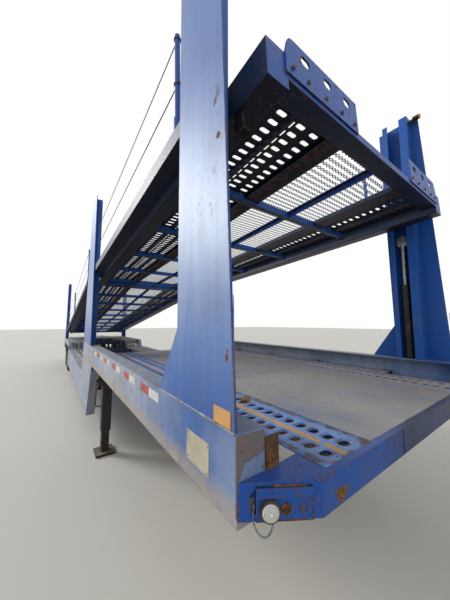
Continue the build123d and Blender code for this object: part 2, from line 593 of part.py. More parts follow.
# Air tanks under the rear frame's cross members
TANK_RADIUS = 135.0
TANK_HALF, TANK_END = 330.0, 40.0       # half length, and length of the domed ends
TANK_CROWN = 90.0         # radius where the dome meets the flat end
TANK_PLACE, TANK_Y, TANK_HEIGHT = LENGTH - 590, 330.0, 640.0
TANK_TOP = TANK_HEIGHT + TANK_RADIUS
STRAP_WIDE = 40.0
with BuildPart() as air_tanks:
    for side, word in SIDES:
        with BuildSketch(Plane(origin=(at(TANK_PLACE), side * TANK_Y, TANK_HEIGHT))):
            with BuildLine():
                Polyline([(-TANK_HALF, 0), (TANK_HALF, 0), (TANK_HALF, TANK_CROWN),
                          (TANK_HALF - TANK_END, TANK_RADIUS), (TANK_END - TANK_HALF, TANK_RADIUS),
                          (-TANK_HALF, TANK_CROWN)], close=True)
            make_face()
        revolve(axis=Axis((0, side * TANK_Y, TANK_HEIGHT), (1, 0, 0)))
        for place in (TANK_PLACE - 160, TANK_PLACE + 140):
            block(place, place + STRAP_WIDE, TANK_Y - 10, SPRING_Y - 50, TANK_TOP - 5, TANK_TOP + 25, side)
            block(place, place + STRAP_WIDE, SPRING_Y - 60, SPRING_Y - SPRING_BEAM - GAP, TANK_TOP - 5,
                  REAR_CROSS_LOW, side)
save(air_tanks.part, "air_tanks")

# Loading ramps, stowed on the cross members between the rear tracks
RAMP_LONG, RAMP_WIDE, RAMP_HIGH = 1900.0, 360.0, 55.0
RAMP_FRONT = LENGTH - 350 - RAMP_LONG
RAMP_IN = 60.0
RAMP_RIM = 30.0           # width of a ramp's side bars
RUNG_PITCH, RUNG_GAP = 120.0, 80.0
with BuildPart() as loading_ramps:
    for side, word in SIDES:
        block(RAMP_FRONT, RAMP_FRONT + RAMP_LONG, RAMP_IN, RAMP_IN + RAMP_WIDE,
              REAR_FLOOR - SHEET, REAR_FLOOR - SHEET + RAMP_HIGH, side)
        gaps = [(at(RAMP_FRONT + RUNG_PITCH * (i + 0.5)), side * (RAMP_IN + RAMP_WIDE / 2), REAR_FLOOR)
                for i in range(int(RAMP_LONG / RUNG_PITCH))]
        with Locations(gaps):
            Box(RUNG_GAP, RAMP_WIDE - 2 * RAMP_RIM, 3 * RAMP_HIGH, mode=Mode.SUBTRACT)
save(loading_ramps.part, "loading_ramps")

# Brake chambers behind the axles, two on each
CHAMBER_RADIUS, CHAMBER_LONG = 80.0, 150.0
CHAMBER_Y, CHAMBER_HEIGHT = 330.0, AXLE_HEIGHT + 70
CHAMBER_BACK = 45.0       # front end of the chamber behind the axle's face
CHAMBER_ARM = 30.0        # half width of the arm that carries it
with BuildPart() as brake_chambers:
    for place in AXLES:
        for side, word in SIDES:
            back = place + AXLE_SECTION / 2
            block(back + GAP, back + CHAMBER_BACK, CHAMBER_Y - CHAMBER_ARM, CHAMBER_Y + CHAMBER_ARM,
                  CHAMBER_HEIGHT - 110, CHAMBER_HEIGHT + 60, side)
            with Locations((at(back + CHAMBER_BACK + CHAMBER_LONG / 2), side * CHAMBER_Y, CHAMBER_HEIGHT)):
                Cylinder(CHAMBER_RADIUS, CHAMBER_LONG, rotation=(0, 90, 0))
save(brake_chambers.part, "brake_chambers")

# Upright brackets on the sill beside the front posts
BRACKET_IN, BRACKET_OUT, BRACKET_HIGH = 1068.0, 1129.0, 105.0
with BuildPart() as sill_brackets:
    for side, word in SIDES:
        block(CORNER - 5, CORNER + 3, BRACKET_IN, BRACKET_OUT, SILL_TOP + GAP, SILL_TOP + BRACKET_HIGH, side)
save(sill_brackets.part, "sill_brackets")

# Upper deck: two sections, each built flat on its own sloping plane.
# Local x runs forwards along the deck from its front end, local z is up from its side beams' top.
FRONT_SLOPE = 3.0
REAR_SLOPE = 8.7
DECK_FRONT, DECK_BACK = 130.0, 4740.0
DECK_HIGH = 2940.0        # side beams' top at the front end
BEAM_HIGH = 178.0
BEAM_WIDE = 126.0
BEAM_FACE = 1103.0        # |y| of the side beams' outer faces
BEAM_INNER = BEAM_FACE - BEAM_WIDE - GAP
DECK_FLOOR = 72.0         # tracks' top below the side beams' top
DECK_FLOOR_LOW = DECK_FLOOR + SHEET + GAP
DECK_TRACK_IN, DECK_TRACK_OUT = 382.0, 976.0
TRACK_EDGE = 525.0        # |y| that the folded inner edge comes back to
TRACK_EDGE_LOW = 112.0
HEAD_WIDE, HEAD_LOW = 100.0, 125.0      # tube across the front end
CROSS_TUBE, CROSS_TUBE_LOW = 45.0, 135.0
FIRST_CROSS, CROSS_PITCH = 830.0, 870.0
TAIL_WIDE, TAIL_LOW = 80.0, 165.0       # tube across the rear end
ANGLE_HALF, ANGLE_SHEET = 22.0, 5.0     # angle bar along the middle, under the mesh
ANGLE_TOP = 87.0
HINGE = 4830.0            # joint between the two sections
MESH_HALF = 378.0         # expanded metal between the tracks, drawn as its light bars
MESH_BAR = 8.0
REAR_DECK_BACK = LENGTH - 1130


def deck_plane(origin, slope):
    """Plane of a deck section that falls towards the rear by slope degrees."""
    fall = radians(slope)
    return Plane(origin=origin, x_dir=(cos(fall), 0, sin(fall)), z_dir=(-sin(fall), 0, cos(fall)))


front_deck = deck_plane((at(DECK_FRONT), 0, DECK_HIGH), FRONT_SLOPE)
FRONT_LONG = (DECK_BACK - DECK_FRONT) / cos(radians(FRONT_SLOPE))
HINGE_DROP = 110.0        # hinge pins below the side beams' top
HINGE_LOCAL = (HINGE - DECK_FRONT) / cos(radians(FRONT_SLOPE))
hinge_point = front_deck.from_local_coords((-HINGE_LOCAL, 0, -HINGE_DROP))
rear_deck = deck_plane(hinge_point, REAR_SLOPE).offset(HINGE_DROP)
REAR_START = 70.0         # rear section's front end behind the hinge
REAR_LONG = (REAR_DECK_BACK - HINGE) / cos(radians(REAR_SLOPE))


def bar(start, end, inner, outer, low, high, side=RIGHT, mode=Mode.ADD):
    """Box in a deck's own frame: start and end are behind its origin, low and high below its top."""
    with Locations((-(start + end) / 2, side * (inner + outer) / 2, -(low + high) / 2)):
        Box(end - start, outer - inner, low - high, mode=mode)


def girder(start, end, half, low, high):
    """Box across a deck, half to each side of its middle."""
    with Locations((-(start + end) / 2, 0, -(low + high) / 2)):
        Box(end - start, 2 * half, low - high)


SECTIONS = (              # deck, its start and end, start and end of the outer channels, rows of slots
    ("upper_front", front_deck, 0.0, FRONT_LONG,
     POSTS[0][3] - DECK_FRONT + 40, POSTS[1][2] - DECK_FRONT - 60, (570, 685, 836)),
    ("upper_rear", rear_deck, REAR_START, REAR_LONG, 200.0, REAR_LONG - 240, (500, 610, 770, 890)),
)
FIRST_SLOT = 160.0        # the tracks' first slots behind a section's front end
OUTER_CHANNEL = 1230.0
CHANNEL_LOW = BEAM_HIGH - 60       # outer channel's floor
UPPER_SLOT_WIDE = 66.0
UPPER_GROUP_LONG, UPPER_GROUP_PITCH = 280.0, 375.0

for name, deck, start, end, outer_start, outer_end, rows in SECTIONS:
    with BuildPart(deck) as side_beams:
        for side, word in SIDES:
            bar(start, end, BEAM_FACE - BEAM_WIDE, BEAM_FACE, BEAM_HIGH, 0, side)
            bar(start + SHEET, end - SHEET, BEAM_FACE - BEAM_WIDE, BEAM_FACE - SHEET,
                BEAM_HIGH - SHEET, SHEET, side, Mode.SUBTRACT)
            bar(outer_start, outer_end, BEAM_FACE, OUTER_CHANNEL, CHANNEL_LOW, CHANNEL_LOW - SHEET, side)
            bar(outer_start, outer_end, OUTER_CHANNEL - SHEET, OUTER_CHANNEL, CHANNEL_LOW, 20, side)
    save(side_beams.part, name + "_side_beams")

    tail = end - TAIL_WIDE
    count = int((tail - start - FIRST_CROSS) / CROSS_PITCH) + 1
    crosses = [start + FIRST_CROSS + CROSS_PITCH * i for i in range(count)]
    with BuildPart(deck) as cross_beams:
        for place in crosses:
            girder(place, place + CROSS_TUBE, BEAM_INNER, CROSS_TUBE_LOW, DECK_FLOOR_LOW)
        girder(start, start + HEAD_WIDE, BEAM_INNER, HEAD_LOW, DECK_FLOOR_LOW)
        girder(tail, end, BEAM_INNER, TAIL_LOW, DECK_FLOOR_LOW)
        # room for the tracks' folded inner edges
        for side, word in SIDES:
            bar(start + HEAD_WIDE + 1, tail - 1, DECK_TRACK_IN - GAP, TRACK_EDGE + GAP,
                TRACK_EDGE_LOW + GAP, DECK_FLOOR, side, Mode.SUBTRACT)
        bar(start + HEAD_WIDE, tail, -ANGLE_HALF, ANGLE_HALF, ANGLE_TOP + ANGLE_SHEET, ANGLE_TOP)
        bar(start + HEAD_WIDE, tail, -ANGLE_HALF, ANGLE_SHEET - ANGLE_HALF, ANGLE_TOP + 40, ANGLE_TOP)
    save(cross_beams.part, name + "_cross_beams")

    with BuildPart(deck) as tracks:
        for side, word in SIDES:
            bar(start + 10, end - GAP, DECK_TRACK_IN, DECK_TRACK_OUT, DECK_FLOOR + SHEET, DECK_FLOOR, side)
            fold = (start + HEAD_WIDE + 2, tail - 2)
            bar(*fold, DECK_TRACK_IN, DECK_TRACK_IN + SHEET, TRACK_EDGE_LOW, DECK_FLOOR, side)
            bar(*fold, DECK_TRACK_IN, TRACK_EDGE, TRACK_EDGE_LOW, TRACK_EDGE_LOW - SHEET, side)
            count = int((end - start - 260) / UPPER_GROUP_PITCH)
            with Locations([(-(start + FIRST_SLOT + UPPER_GROUP_PITCH * (i + 0.5)), side * row, -DECK_FLOOR)
                            for i in range(count) for row in rows]):
                Box(UPPER_GROUP_LONG, UPPER_SLOT_WIDE, 3 * SHEET, mode=Mode.SUBTRACT)
    save(tracks.part, name + "_tracks")

    with BuildPart(deck) as mesh:
        for y in (MESH_BAR - MESH_HALF, -MESH_HALF / 2, MESH_HALF / 2 + MESH_BAR, MESH_HALF):
            bar(start + HEAD_WIDE + GAP, tail - GAP, y - MESH_BAR, y, DECK_FLOOR + SHEET - 2, DECK_FLOOR + 2)
        bars = [start + HEAD_WIDE + 1, *(cross + 2 * MESH_BAR for cross in crosses), tail - MESH_BAR - 1]
        for place in bars:
            girder(place, place + MESH_BAR, MESH_HALF, DECK_FLOOR + SHEET, DECK_FLOOR + 3)
    save(mesh.part, name + "_mesh")

# Stop plates at the front of the upper deck, with slots for the hooks
STOP_IN, STOP_OUT = 392.0, 994.0
STOP_TOP, STOP_LOW = 92.0, 100.0        # above and below the side beams' top
STOP_CORNER = 40.0
HOOK_SLOT_LONG, HOOK_SLOT_HIGH, HOOK_SLOT_PITCH = 66.0, 46.0, 178.0
FIRST_HOOK_SLOT = STOP_OUT - 140
HOOK_SLOT_RISE = 34.0     # above the side beams' top
STOP_LEAN = 24.0          # the outer edge leans in by this above the deck
stop_face = Plane(origin=front_deck.origin, x_dir=(0, 1, 0), z_dir=front_deck.x_dir).offset(GAP)
with BuildPart() as stop_plates:
    for side, word in SIDES:
        with BuildSketch(stop_face) as stop_plate:
            with BuildLine():
                Polyline([(side * STOP_IN, -STOP_LOW), (side * STOP_OUT, -STOP_LOW), (side * STOP_OUT, 5),
                          (side * (STOP_OUT - STOP_LEAN), STOP_TOP), (side * STOP_IN, STOP_TOP)], close=True)
            make_face()
            corners = stop_plate.vertices()
            fillet(corners.sort_by_distance((side * (STOP_OUT - STOP_LEAN), STOP_TOP))[0], STOP_CORNER)
            slots = [(side * (FIRST_HOOK_SLOT - HOOK_SLOT_PITCH * i), HOOK_SLOT_RISE) for i in range(3)]
            with Locations(slots):
                SlotOverall(HOOK_SLOT_LONG, HOOK_SLOT_HIGH, mode=Mode.SUBTRACT)
        extrude(amount=SHEET)
save(stop_plates.part, "upper_front_stop_plates")

# Shoes that guide the front section in its four posts, each with a neck through the post's slot
SHOE_IN, SHOE_OUT = CHANNEL_IN + SHEET + 5, INNER - 6
SHOE_TOP, SHOE_LOW = 30.0, 150.0        # below the side beams' top
NECK_PLAY = 8.0           # each side of a neck in its slot
with BuildPart() as deck_shoes:
    for name, outline, front, back, front_lip, back_lip in POSTS[:2]:
        drop = (front - DECK_FRONT) * tan(radians(FRONT_SLOPE))
        low = DECK_HIGH - drop - SHOE_LOW
        high = DECK_HIGH - drop - SHOE_TOP
        for side, word in SIDES:
            block(front + SHEET + RUNNING, back - SHEET - RUNNING, SHOE_IN, SHOE_OUT, low, high, side)
            block(front + front_lip + NECK_PLAY, back - back_lip - NECK_PLAY, BEAM_FACE + GAP, SHOE_IN,
                  low, high, side)
save(deck_shoes.part, "upper_front_shoes")

# Stanchions of the safety ropes, each in a socket on the outer channel
STANCHION_Y = 1194.0
STANCHION_RADIUS, SOCKET_RADIUS = 17.0, 24.0
SOCKET_TOP = 94.0
STANCHION_TOP = 684.0
STANCHIONS = (            # deck, its plane, places behind the section's origin
    ("upper_front", front_deck, (640.0, 3760.0)),
    ("upper_rear", rear_deck, (300.0, 3900.0, REAR_LONG - 420)),
)
for name, deck, places in STANCHIONS:
    with BuildPart(deck) as stanchions:
        for place in places:
            for side, word in SIDES:
                foot = SHEET + GAP - CHANNEL_LOW
                with Locations((-place, side * STANCHION_Y, foot)):
                    for radius, top in ((SOCKET_RADIUS, SOCKET_TOP), (STANCHION_RADIUS, STANCHION_TOP)):
                        Cylinder(radius, top - foot, align=(Align.CENTER, Align.CENTER, Align.MIN))
    save(stanchions.part, name + "_stanchions")

# Hinges between the two sections: an ear on each front side beam holds a pin between two rear ears
EAR_RADIUS = 42.0
EAR_THICK = 22.0
EAR_Y = 1040.0            # |y| of the front section's ear
HINGE_PIN_RADIUS = 24.0

with BuildPart(front_deck) as section_hinges:
    for side, word in SIDES:
        bar(FRONT_LONG + GAP, HINGE_LOCAL, EAR_Y - EAR_THICK / 2, EAR_Y + EAR_THICK / 2,
            HINGE_DROP + EAR_RADIUS, HINGE_DROP - EAR_RADIUS, side)
        with Locations((-HINGE_LOCAL, side * EAR_Y, -HINGE_DROP)):
            Cylinder(EAR_RADIUS, EAR_THICK, rotation=(90, 0, 0))
            Cylinder(HINGE_PIN_RADIUS, 4 * EAR_THICK, rotation=(90, 0, 0))
save(section_hinges.part, "upper_front_hinge_pins")

with BuildPart(rear_deck) as hinge_ears:
    for side, word in SIDES:
        for ear in (EAR_Y - EAR_THICK - 2 * RUNNING, EAR_Y + EAR_THICK + 2 * RUNNING):
            bar(0, REAR_START - GAP, ear - EAR_THICK / 2, ear + EAR_THICK / 2,
                HINGE_DROP + EAR_RADIUS, HINGE_DROP - EAR_RADIUS, side)
            with Locations((0, side * ear, -HINGE_DROP)):
                Cylinder(EAR_RADIUS, EAR_THICK, rotation=(90, 0, 0))
        with Locations((0, side * EAR_Y, -HINGE_DROP)):
            Cylinder(HINGE_PIN_RADIUS + RUNNING, 5 * EAR_THICK, rotation=(90, 0, 0), mode=Mode.SUBTRACT)
save(hinge_ears.part, "upper_rear_hinge_ears")

# Rollers that guide the rear section's tail in the rear posts
ROLLER_RADIUS, ROLLER_WIDE = 28.0, 50.0
ROLLER_PIN_RADIUS = 14.0
ROLLER_OUT = INNER - 20
ROLLER_BACK = POSTS[2][2] + SHEET + ROLLER_RADIUS + RUNNING
with BuildPart(rear_deck) as tail_rollers:
    for side, word in SIDES:
        place = (hinge_point.X - at(ROLLER_BACK)) / cos(radians(REAR_SLOPE))
        with Locations((-place, side * (BEAM_FACE + GAP + ROLLER_OUT) / 2, -HINGE_DROP)):
            Cylinder(ROLLER_PIN_RADIUS, ROLLER_OUT - BEAM_FACE - GAP, rotation=(90, 0, 0))
        with Locations((-place, side * (ROLLER_OUT - ROLLER_WIDE / 2), -HINGE_DROP)):
            Cylinder(ROLLER_RADIUS, ROLLER_WIDE, rotation=(90, 0, 0))
save(tail_rollers.part, "upper_rear_rollers")
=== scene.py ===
"""Looks of the two-deck car transporter semi-trailer: finishes, perforated tracks, mesh, wheels and trim.

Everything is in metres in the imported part's frame: +X to the front of the trailer, +Y to its left,
+Z up, on the ground under the middle. A place along the trailer is its distance behind the front sill.
"""
from functools import partial
from math import cos, pi, radians, sin

import bmesh
import bpy
import numpy as np
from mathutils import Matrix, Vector


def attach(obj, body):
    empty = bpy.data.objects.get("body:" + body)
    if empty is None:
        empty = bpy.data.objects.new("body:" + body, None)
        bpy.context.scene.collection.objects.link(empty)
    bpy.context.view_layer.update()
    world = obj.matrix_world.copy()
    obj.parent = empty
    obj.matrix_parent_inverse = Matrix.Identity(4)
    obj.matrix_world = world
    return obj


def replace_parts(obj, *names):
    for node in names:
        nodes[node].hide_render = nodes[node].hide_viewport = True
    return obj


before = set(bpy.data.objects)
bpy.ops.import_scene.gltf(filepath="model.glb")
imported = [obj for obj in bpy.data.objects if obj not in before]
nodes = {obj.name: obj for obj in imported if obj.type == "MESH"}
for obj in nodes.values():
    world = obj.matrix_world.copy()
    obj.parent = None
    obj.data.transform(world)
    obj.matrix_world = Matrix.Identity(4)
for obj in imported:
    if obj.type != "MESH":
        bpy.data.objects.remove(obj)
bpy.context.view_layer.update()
scene = bpy.context.scene

# Sizes of the part, as its solids have them
LENGTH, WIDTH = 13.75, 2.5
FRONT, HALF = LENGTH / 2, WIDTH / 2
PLATE, SHEET = 0.01, 0.008
INNER = HALF - PLATE
SILL_TOP, SILL_BOTTOM = 1.297, 1.186
NECK_TOP, WELL_Z, REAR_Z = 1.437, 0.87, 1.11
PLATFORM_BACK, STEP_BACK = 3.802, 4.5
WELL_END = LENGTH - 4.0
RAMP_FOOT, RAMP_HEAD = WELL_END - 0.19, WELL_END + 0.15
POST_TOP = 3.93
AXLES = {"front": LENGTH - 3.05, "rear": LENGTH - 1.74}
AXLE_Z = 0.393
LEG_BACK, LEG_Y = 3.4, 1.06
DECK_FRONT, DECK_HIGH, DECK_BACK = 0.13, 2.94, 4.74
REAR_START, REAR_DECK_BACK = 0.07, 12.62
HINGE, HINGE_DROP = 4.83, 0.11
FRONT_SLOPE, REAR_SLOPE = 3.0, 8.7


def at(distance):
    """X of a place that lies a distance behind the front sill."""
    return FRONT - distance


def new_object(name, data):
    """New object in the scene."""
    made = bpy.data.objects.new(name, data)
    scene.collection.objects.link(made)
    return made


# Camera: the lens and the place found from the straight edges of the photo
camera = new_object("camera", bpy.data.cameras.new("camera"))
camera.data.sensor_fit, camera.data.sensor_height, camera.data.lens = "VERTICAL", 36.0, 14.561
camera.location = (7.362, -1.736, 1.786)
camera.rotation_euler = Vector((-0.814, 0.5731, 0.0948)).to_track_quat("-Z", "Y").to_euler()
scene.camera = camera
scene.view_settings.view_transform = "Standard"


# Materials
def linear(hex_colour):
    """Linear RGBA of an sRGB colour such as "2b579b"."""
    srgb = np.array([int(hex_colour[i:i + 2], 16) for i in (0, 2, 4)]) / 255
    low, high = srgb / 12.92, ((srgb + 0.055) / 1.055) ** 2.4
    return (*np.where(srgb <= 0.04045, low, high), 1.0)


def feed(node, inputs):
    """Give a node its inputs, in order or by name: linked where the value is a socket, and set otherwise."""
    for key, value in inputs.items() if isinstance(inputs, dict) else enumerate(inputs):
        if isinstance(value, bpy.types.NodeSocket):
            node.id_data.links.new(value, node.inputs[key])
        else:
            node.inputs[key].default_value = value


def add(tree, kind, inputs=(), output=0, **settings):
    """Add a shader node with its settings and inputs, and give one of its outputs."""
    node = tree.nodes.new("ShaderNode" + kind)
    for name, value in settings.items():
        setattr(node, name, value)
    feed(node, inputs)
    return node.outputs[output]


def new_material(name):
    """New material, the function that adds a node to it, and its Principled shader."""
    material = bpy.data.materials.new(name)
    material.use_nodes = True
    return material, partial(add, material.node_tree), material.node_tree.nodes["Principled BSDF"]


def parts(node, source, output):
    """X, y and z of the place in Object coordinates, or of the true normal."""
    return node("SeparateXYZ", (node(source, output=output),)).node.outputs


def patchy(node, grain, detail, low, high, to_low=0.0, to_high=1.0, stretch=(1, 1, 1)):
    """Mask in patches about grain metres across, stretched along the axes: noise, with its values from low to
    high made to_low to to_high and what lies outside them cut off."""
    place = node("TexCoord", output="Object")
    spread = node("Mapping", {"Vector": place, "Scale": [1 / s for s in stretch]})
    spots = node("TexNoise", {"Vector": spread, "Scale": 1 / grain, "Detail": detail})
    return node("MapRange", (spots, low, high, to_low, to_high))


def all_of(node, mask, *others):
    """Mask of what all of the masks cover: their product."""
    for other in others:
        mask = node("Math", (mask, other), operation="MULTIPLY")
    return mask


def any_of(node, mask, *others):
    """Mask of what any of the masks covers: their largest."""
    for other in others:
        mask = node("Math", (mask, other), operation="MAXIMUM")
    return mask


def layered(node, deepest, layers):
    """Deepest colour under a row of layers, each a mask and the tone that it lays over those below it."""
    colour = linear(deepest)
    for mask, tone in layers:
        tone = linear(tone) if isinstance(tone, str) else tone
        colour = node("Mix", {0: mask, 6: colour, 7: tone}, output=2, data_type="RGBA")
    return colour


RUST_DARK, RUST_LIGHT, DUST = "3f2a1c", "8a5a2c", "a3947c"
# the second tone is grease darkened further as painted shadow, and the third a near black painted shade under
# the tracks
GRIME, GREASE_AND_SHADOW, UNDER_TRACK_SHADE = "5c564c", "22262c", "0e0f12"


def rust_tone(node, grain):
    """Light rust in grains on dark rust."""
    return layered(node, RUST_DARK, [(patchy(node, grain, 4, 0.35, 0.65), RUST_LIGHT)])


def chalking(node, fade, paled, pale_band):
    """Mask of chalked paint and, in places, painted glare: patches 0.7 m across in streaks that run down, nearly
    even from the second x of paled, where the pale grey is partly a painted glare of the sky. Given the two
    heights of a pale band, only faces that look away from the trailer chalk, most between the two heights,
    and that band is partly a painted highlight of the sun's glare."""
    x, y, z = parts(node, "TexCoord", "Object")
    chalk_and_glare = patches = patchy(node, 0.7, 5, 0.34, 0.66, 0.0, fade)
    streaks = patchy(node, 0.055, 4, 0.3, 0.7, 0.62, 1.0, (1, 1, 9))
    # beyond paled the plates turn an even pale grey: partly chalking, partly a painted glare of the sky
    if paled:
        behind, even = node("MapRange", (x, *paled)), node("MapRange", (patches, 0.0, fade, 0.6, 0.95))
        chalk_and_glare = any_of(node, chalk_and_glare, all_of(node, behind, even))
    # the pale band is partly chalking and partly a painted highlight of the sun's glare on the outer faces
    if pale_band:
        foot, head = pale_band
        rising = node("MapRange", (z, foot, foot + 0.7, 0.0, 0.6))
        falling = node("MapRange", (z, head, head - 0.7, 0.3, 1.0))
        chalk_and_glare = any_of(node, chalk_and_glare, all_of(node, rising, falling))
        _, sideways, _ = parts(node, "NewGeometry", "True Normal")
        outward = node("Math", (sideways, y), operation="MULTIPLY", use_clamp=True)
        chalk_and_glare = all_of(node, chalk_and_glare, outward)
    return all_of(node, chalk_and_glare, streaks)


def rusting(node, rust, edge, rubbed):
    """Mask of rust: chips of 10 to 30 mm in places, blooms, and edges rubbed over the width edge, where a
    bevelled normal turns from the true one."""
    spots = patchy(node, 0.02, 3, 0.62, 0.66)
    chips = all_of(node, spots, patchy(node, 0.45, 3, 0.42, 0.6, 0.0, min(1.0, 1.8 * rust)))
    soft, true = node("Bevel", (edge,), samples=4), node("NewGeometry", output="True Normal")
    facing = node("VectorMath", (soft, true), output="Value", operation="DOT_PRODUCT")
    broken = patchy(node, 0.05, 5, 0.44, 0.58, 0.0, rubbed)
    edges = all_of(node, node("MapRange", (facing, 1.0, 0.7)), broken)
    blooms = patchy(node, 0.26, 9, 0.79 - 0.18 * rust, 0.84 - 0.18 * rust)
    return any_of(node, chips, edges, blooms)


def settling(node, level, dust, lee, soiled):
    """Mask of dust on what is level, thicker on the left by lee, and between the two soiled heights, most at
    the lower one."""
    _, y, z = parts(node, "TexCoord", "Object")
    drift, more = patchy(node, 0.15, 6, 0.3, 0.7, 0.35 * dust, dust), node("MapRange", (y, -0.3, 0.6, 0, lee))
    settled = all_of(node, level, node("Math", (drift, more), operation="ADD", use_clamp=True))
    if soiled:
        low, high = soiled
        fading, starting = node("MapRange", (z, high, low)), node("MapRange", (z, low - 0.04, low - 0.02))
        splashes = patchy(node, 0.12, 6, 0.3, 0.6, 0.25, 0.9)
        settled = any_of(node, settled, all_of(node, fading, starting, splashes))
    return settled


def old_paint(name, deep, lighter_tone, painted_shade, fade=0.5, rust=0.4, dust=0.5, grime=0.3, roughness=0.42,
              edge=0.012, rubbed=0.8, lee=0.0,
              pale_band=None, paled=None, grease_and_shadow_y=None, flank_shade=None, soiled=None, painted_shade_below=None):
    """Alkyd paint on hot-rolled plate: it chalks from the deep to the lighter tone, takes a painted shade tone
    where a face looks down and a second one where it looks sideways, rusts in chips, edges and blooms, and
    gathers dust. From the first to the second of two given y it darkens with grease and painted shadow, and what
    faces up just below a given height is painted black as shade. Edges look blunted to a radius of 3 mm."""
    material, node, shader = new_material(name)
    _, y, z = parts(node, "TexCoord", "Object")
    _, sideways, upward = parts(node, "NewGeometry", "True Normal")
    level = node("MapRange", (upward, 0.3, 0.9))
    chalk_and_glare, film = chalking(node, fade, paled, pale_band), patchy(node, 0.2, 7, 0.5, 0.7, 0, grime)
    layers = [(chalk_and_glare, lighter_tone), (film, GRIME)]
    # darker towards the left of the sill: partly grease, partly painted shadow
    if grease_and_shadow_y:
        grease_and_shadow_patches = patchy(node, 0.1, 6, 0.3, 0.6, 0.6, 0.85)
        layers.append((all_of(node, node("MapRange", (y, *grease_and_shadow_y)), grease_and_shadow_patches), GREASE_AND_SHADOW))
    # painted shade: faces that look sideways take the darker flank tone
    if flank_shade:
        across = node("Math", (sideways,), operation="ABSOLUTE")
        layers.append((node("MapRange", (across, 0.5, 0.8, 0.0, 0.9)), flank_shade))
    rusty, settled = rusting(node, rust, edge, rubbed), settling(node, level, dust, lee, soiled)
    # painted shade: faces that look down take the darker shade tone
    downward = node("MapRange", (upward, -0.25, -0.8))
    layers += [(downward, painted_shade), (rusty, rust_tone(node, 0.012)), (settled, DUST)]
    # painted shade: what faces up just below that height, under the tracks, is near black
    if painted_shade_below:
        below = node("MapRange", (z, painted_shade_below, painted_shade_below - 0.002))
        above = node("MapRange", (z, painted_shade_below - 0.014, painted_shade_below - 0.012))
        layers.append((all_of(node, below, level, above), UNDER_TRACK_SHADE))
    matt, fine = any_of(node, rusty, settled), patchy(node, 0.004, 2, 0, 1)
    grain = node("Math", (rusty, 0.9, fine), operation="MULTIPLY_ADD", use_clamp=True)
    blunt = node("Bevel", (0.003,), samples=4)
    bump = node("Bump", {"Height": grain, "Strength": 0.25, "Distance": 0.002, "Normal": blunt})
    feed(shader, {"Base Color": layered(node, deep, layers), "Normal": bump,
                  "Roughness": node("MapRange", (matt, 0, 1, roughness, 0.88)), "Specular IOR Level": 0.3})
    return material


def bare_steel(name, bright, dull, roughness, rust=0.3, metallic=0.85, grain=0.03):
    """Steel without paint: rolled, rubbed or zinc-dipped grey with dull patches, rusting in blooms."""
    material, node, shader = new_material(name)
    tone = patchy(node, grain, 5, 0.35, 0.65)
    blooms = patchy(node, 0.18, 8, 0.62 - 0.3 * rust, 0.74 - 0.3 * rust, 0.0, min(1.0, 3 * rust))
    colour = layered(node, dull, [(tone, bright), (blooms, rust_tone(node, 0.014))])
    matt = node("Math", (tone, 0.25, blooms), operation="MULTIPLY_ADD")
    pitted = node("MapRange", (blooms, 0, 1, 0.3, 1.0))
    pits = all_of(node, patchy(node, 0.006, 4, 0, 1), pitted)
    feed(shader, {"Base Color": colour, "Roughness": node("MapRange", (matt, 0, 1, roughness, 0.9)),
                  "Metallic": node("MapRange", (blooms, 0, 1, metallic, 0.0)),
                  "Normal": node("Bump", {"Height": pits, "Strength": 0.3, "Distance": 0.002})})
    return material


def moulded(name, colour, shade, roughness, grain=0.002, depth=0.0005, dust=0.35, **sockets):
    """Moulded plastic or rubber: an even colour with a slight mottle, a fine grain and a film of dust."""
    material, node, shader = new_material(name)
    mottle, film = patchy(node, 0.12, 5, 0.35, 0.65), patchy(node, 0.08, 6, 0.35, 0.7, 0.0, dust)
    fine = patchy(node, grain, 2, 0, 1)
    feed(shader, {"Base Color": layered(node, shade, [(mottle, colour), (film, DUST)]),
                  "Roughness": node("MapRange", (film, 0, 1, roughness, 0.9)),
                  "Normal": node("Bump", {"Height": fine, "Strength": 0.4, "Distance": depth}), **sockets})
    return material


# Finishes
# the posts' blue is pale on their outer faces from shoulder height upwards: partly chalking, partly a painted
# highlight of the sun's glare
post_blue = old_paint("chalked_and_glare_post_paint", "17529f", "b9c8d6", "0e1a30", fade=0.3, rust=0.12, dust=0.3,
                      grime=0.2, pale_band=(1.4, 2.95))
# the side plates are splashed from the road, and pale grey behind the front post: partly chalking, partly a
# painted glare of the sky
side_blue = old_paint("road_splashed_side_paint", "34609f", "b2b5b3", "0d1828", fade=1.0, rust=0.45, dust=0.3,
                      roughness=0.4, soiled=(1.19, 1.265), paled=(at(0.4), at(1.2)))
# the front sill is a stronger blue, darker past its weld seam with grease and painted shadow, and painted black
# as shade where the tracks cover it
sill_blue = old_paint("road_grimed_and_shaded_sill_paint", "08469a", "2762ae", "141c28", rust=0.6, dust=0.12,
                      grease_and_shadow_y=(-0.62, -0.34), painted_shade_below=SILL_TOP - 0.001)
# the rails' front ends are rubbed down to primer and rust
rubbed_blue = old_paint("rubbed_rail_end_paint", "7d6a50", "3d5f92", "141c28", fade=0.8, rust=0.75, dust=0.3,
                        grime=0.8, roughness=0.7)
# the upper deck's beams keep more of their first colour
deck_blue = old_paint("deep_blue_beam_paint", "0a4899", "2766b0", "0d1730", rust=0.45, dust=0.4, grime=0.25,
                      edge=0.018)
# the flanks of the long side beams are painted dark as shade
flank_shaded_blue = old_paint("shade_darkened_side_beam_paint", "0a4899", "2766b0", "0d1422", rust=0.3, dust=0.4,
                       flank_shade="1b2538")
# what lies inside and under the frame is painted dark navy as shade, with grime over it
under_blue = old_paint("grime_and_shade_navy_frame_paint", "101f3d", "1d3358", "0b1424", rust=0.15, dust=0.45,
                       grime=0.5, roughness=0.55, rubbed=0.35)
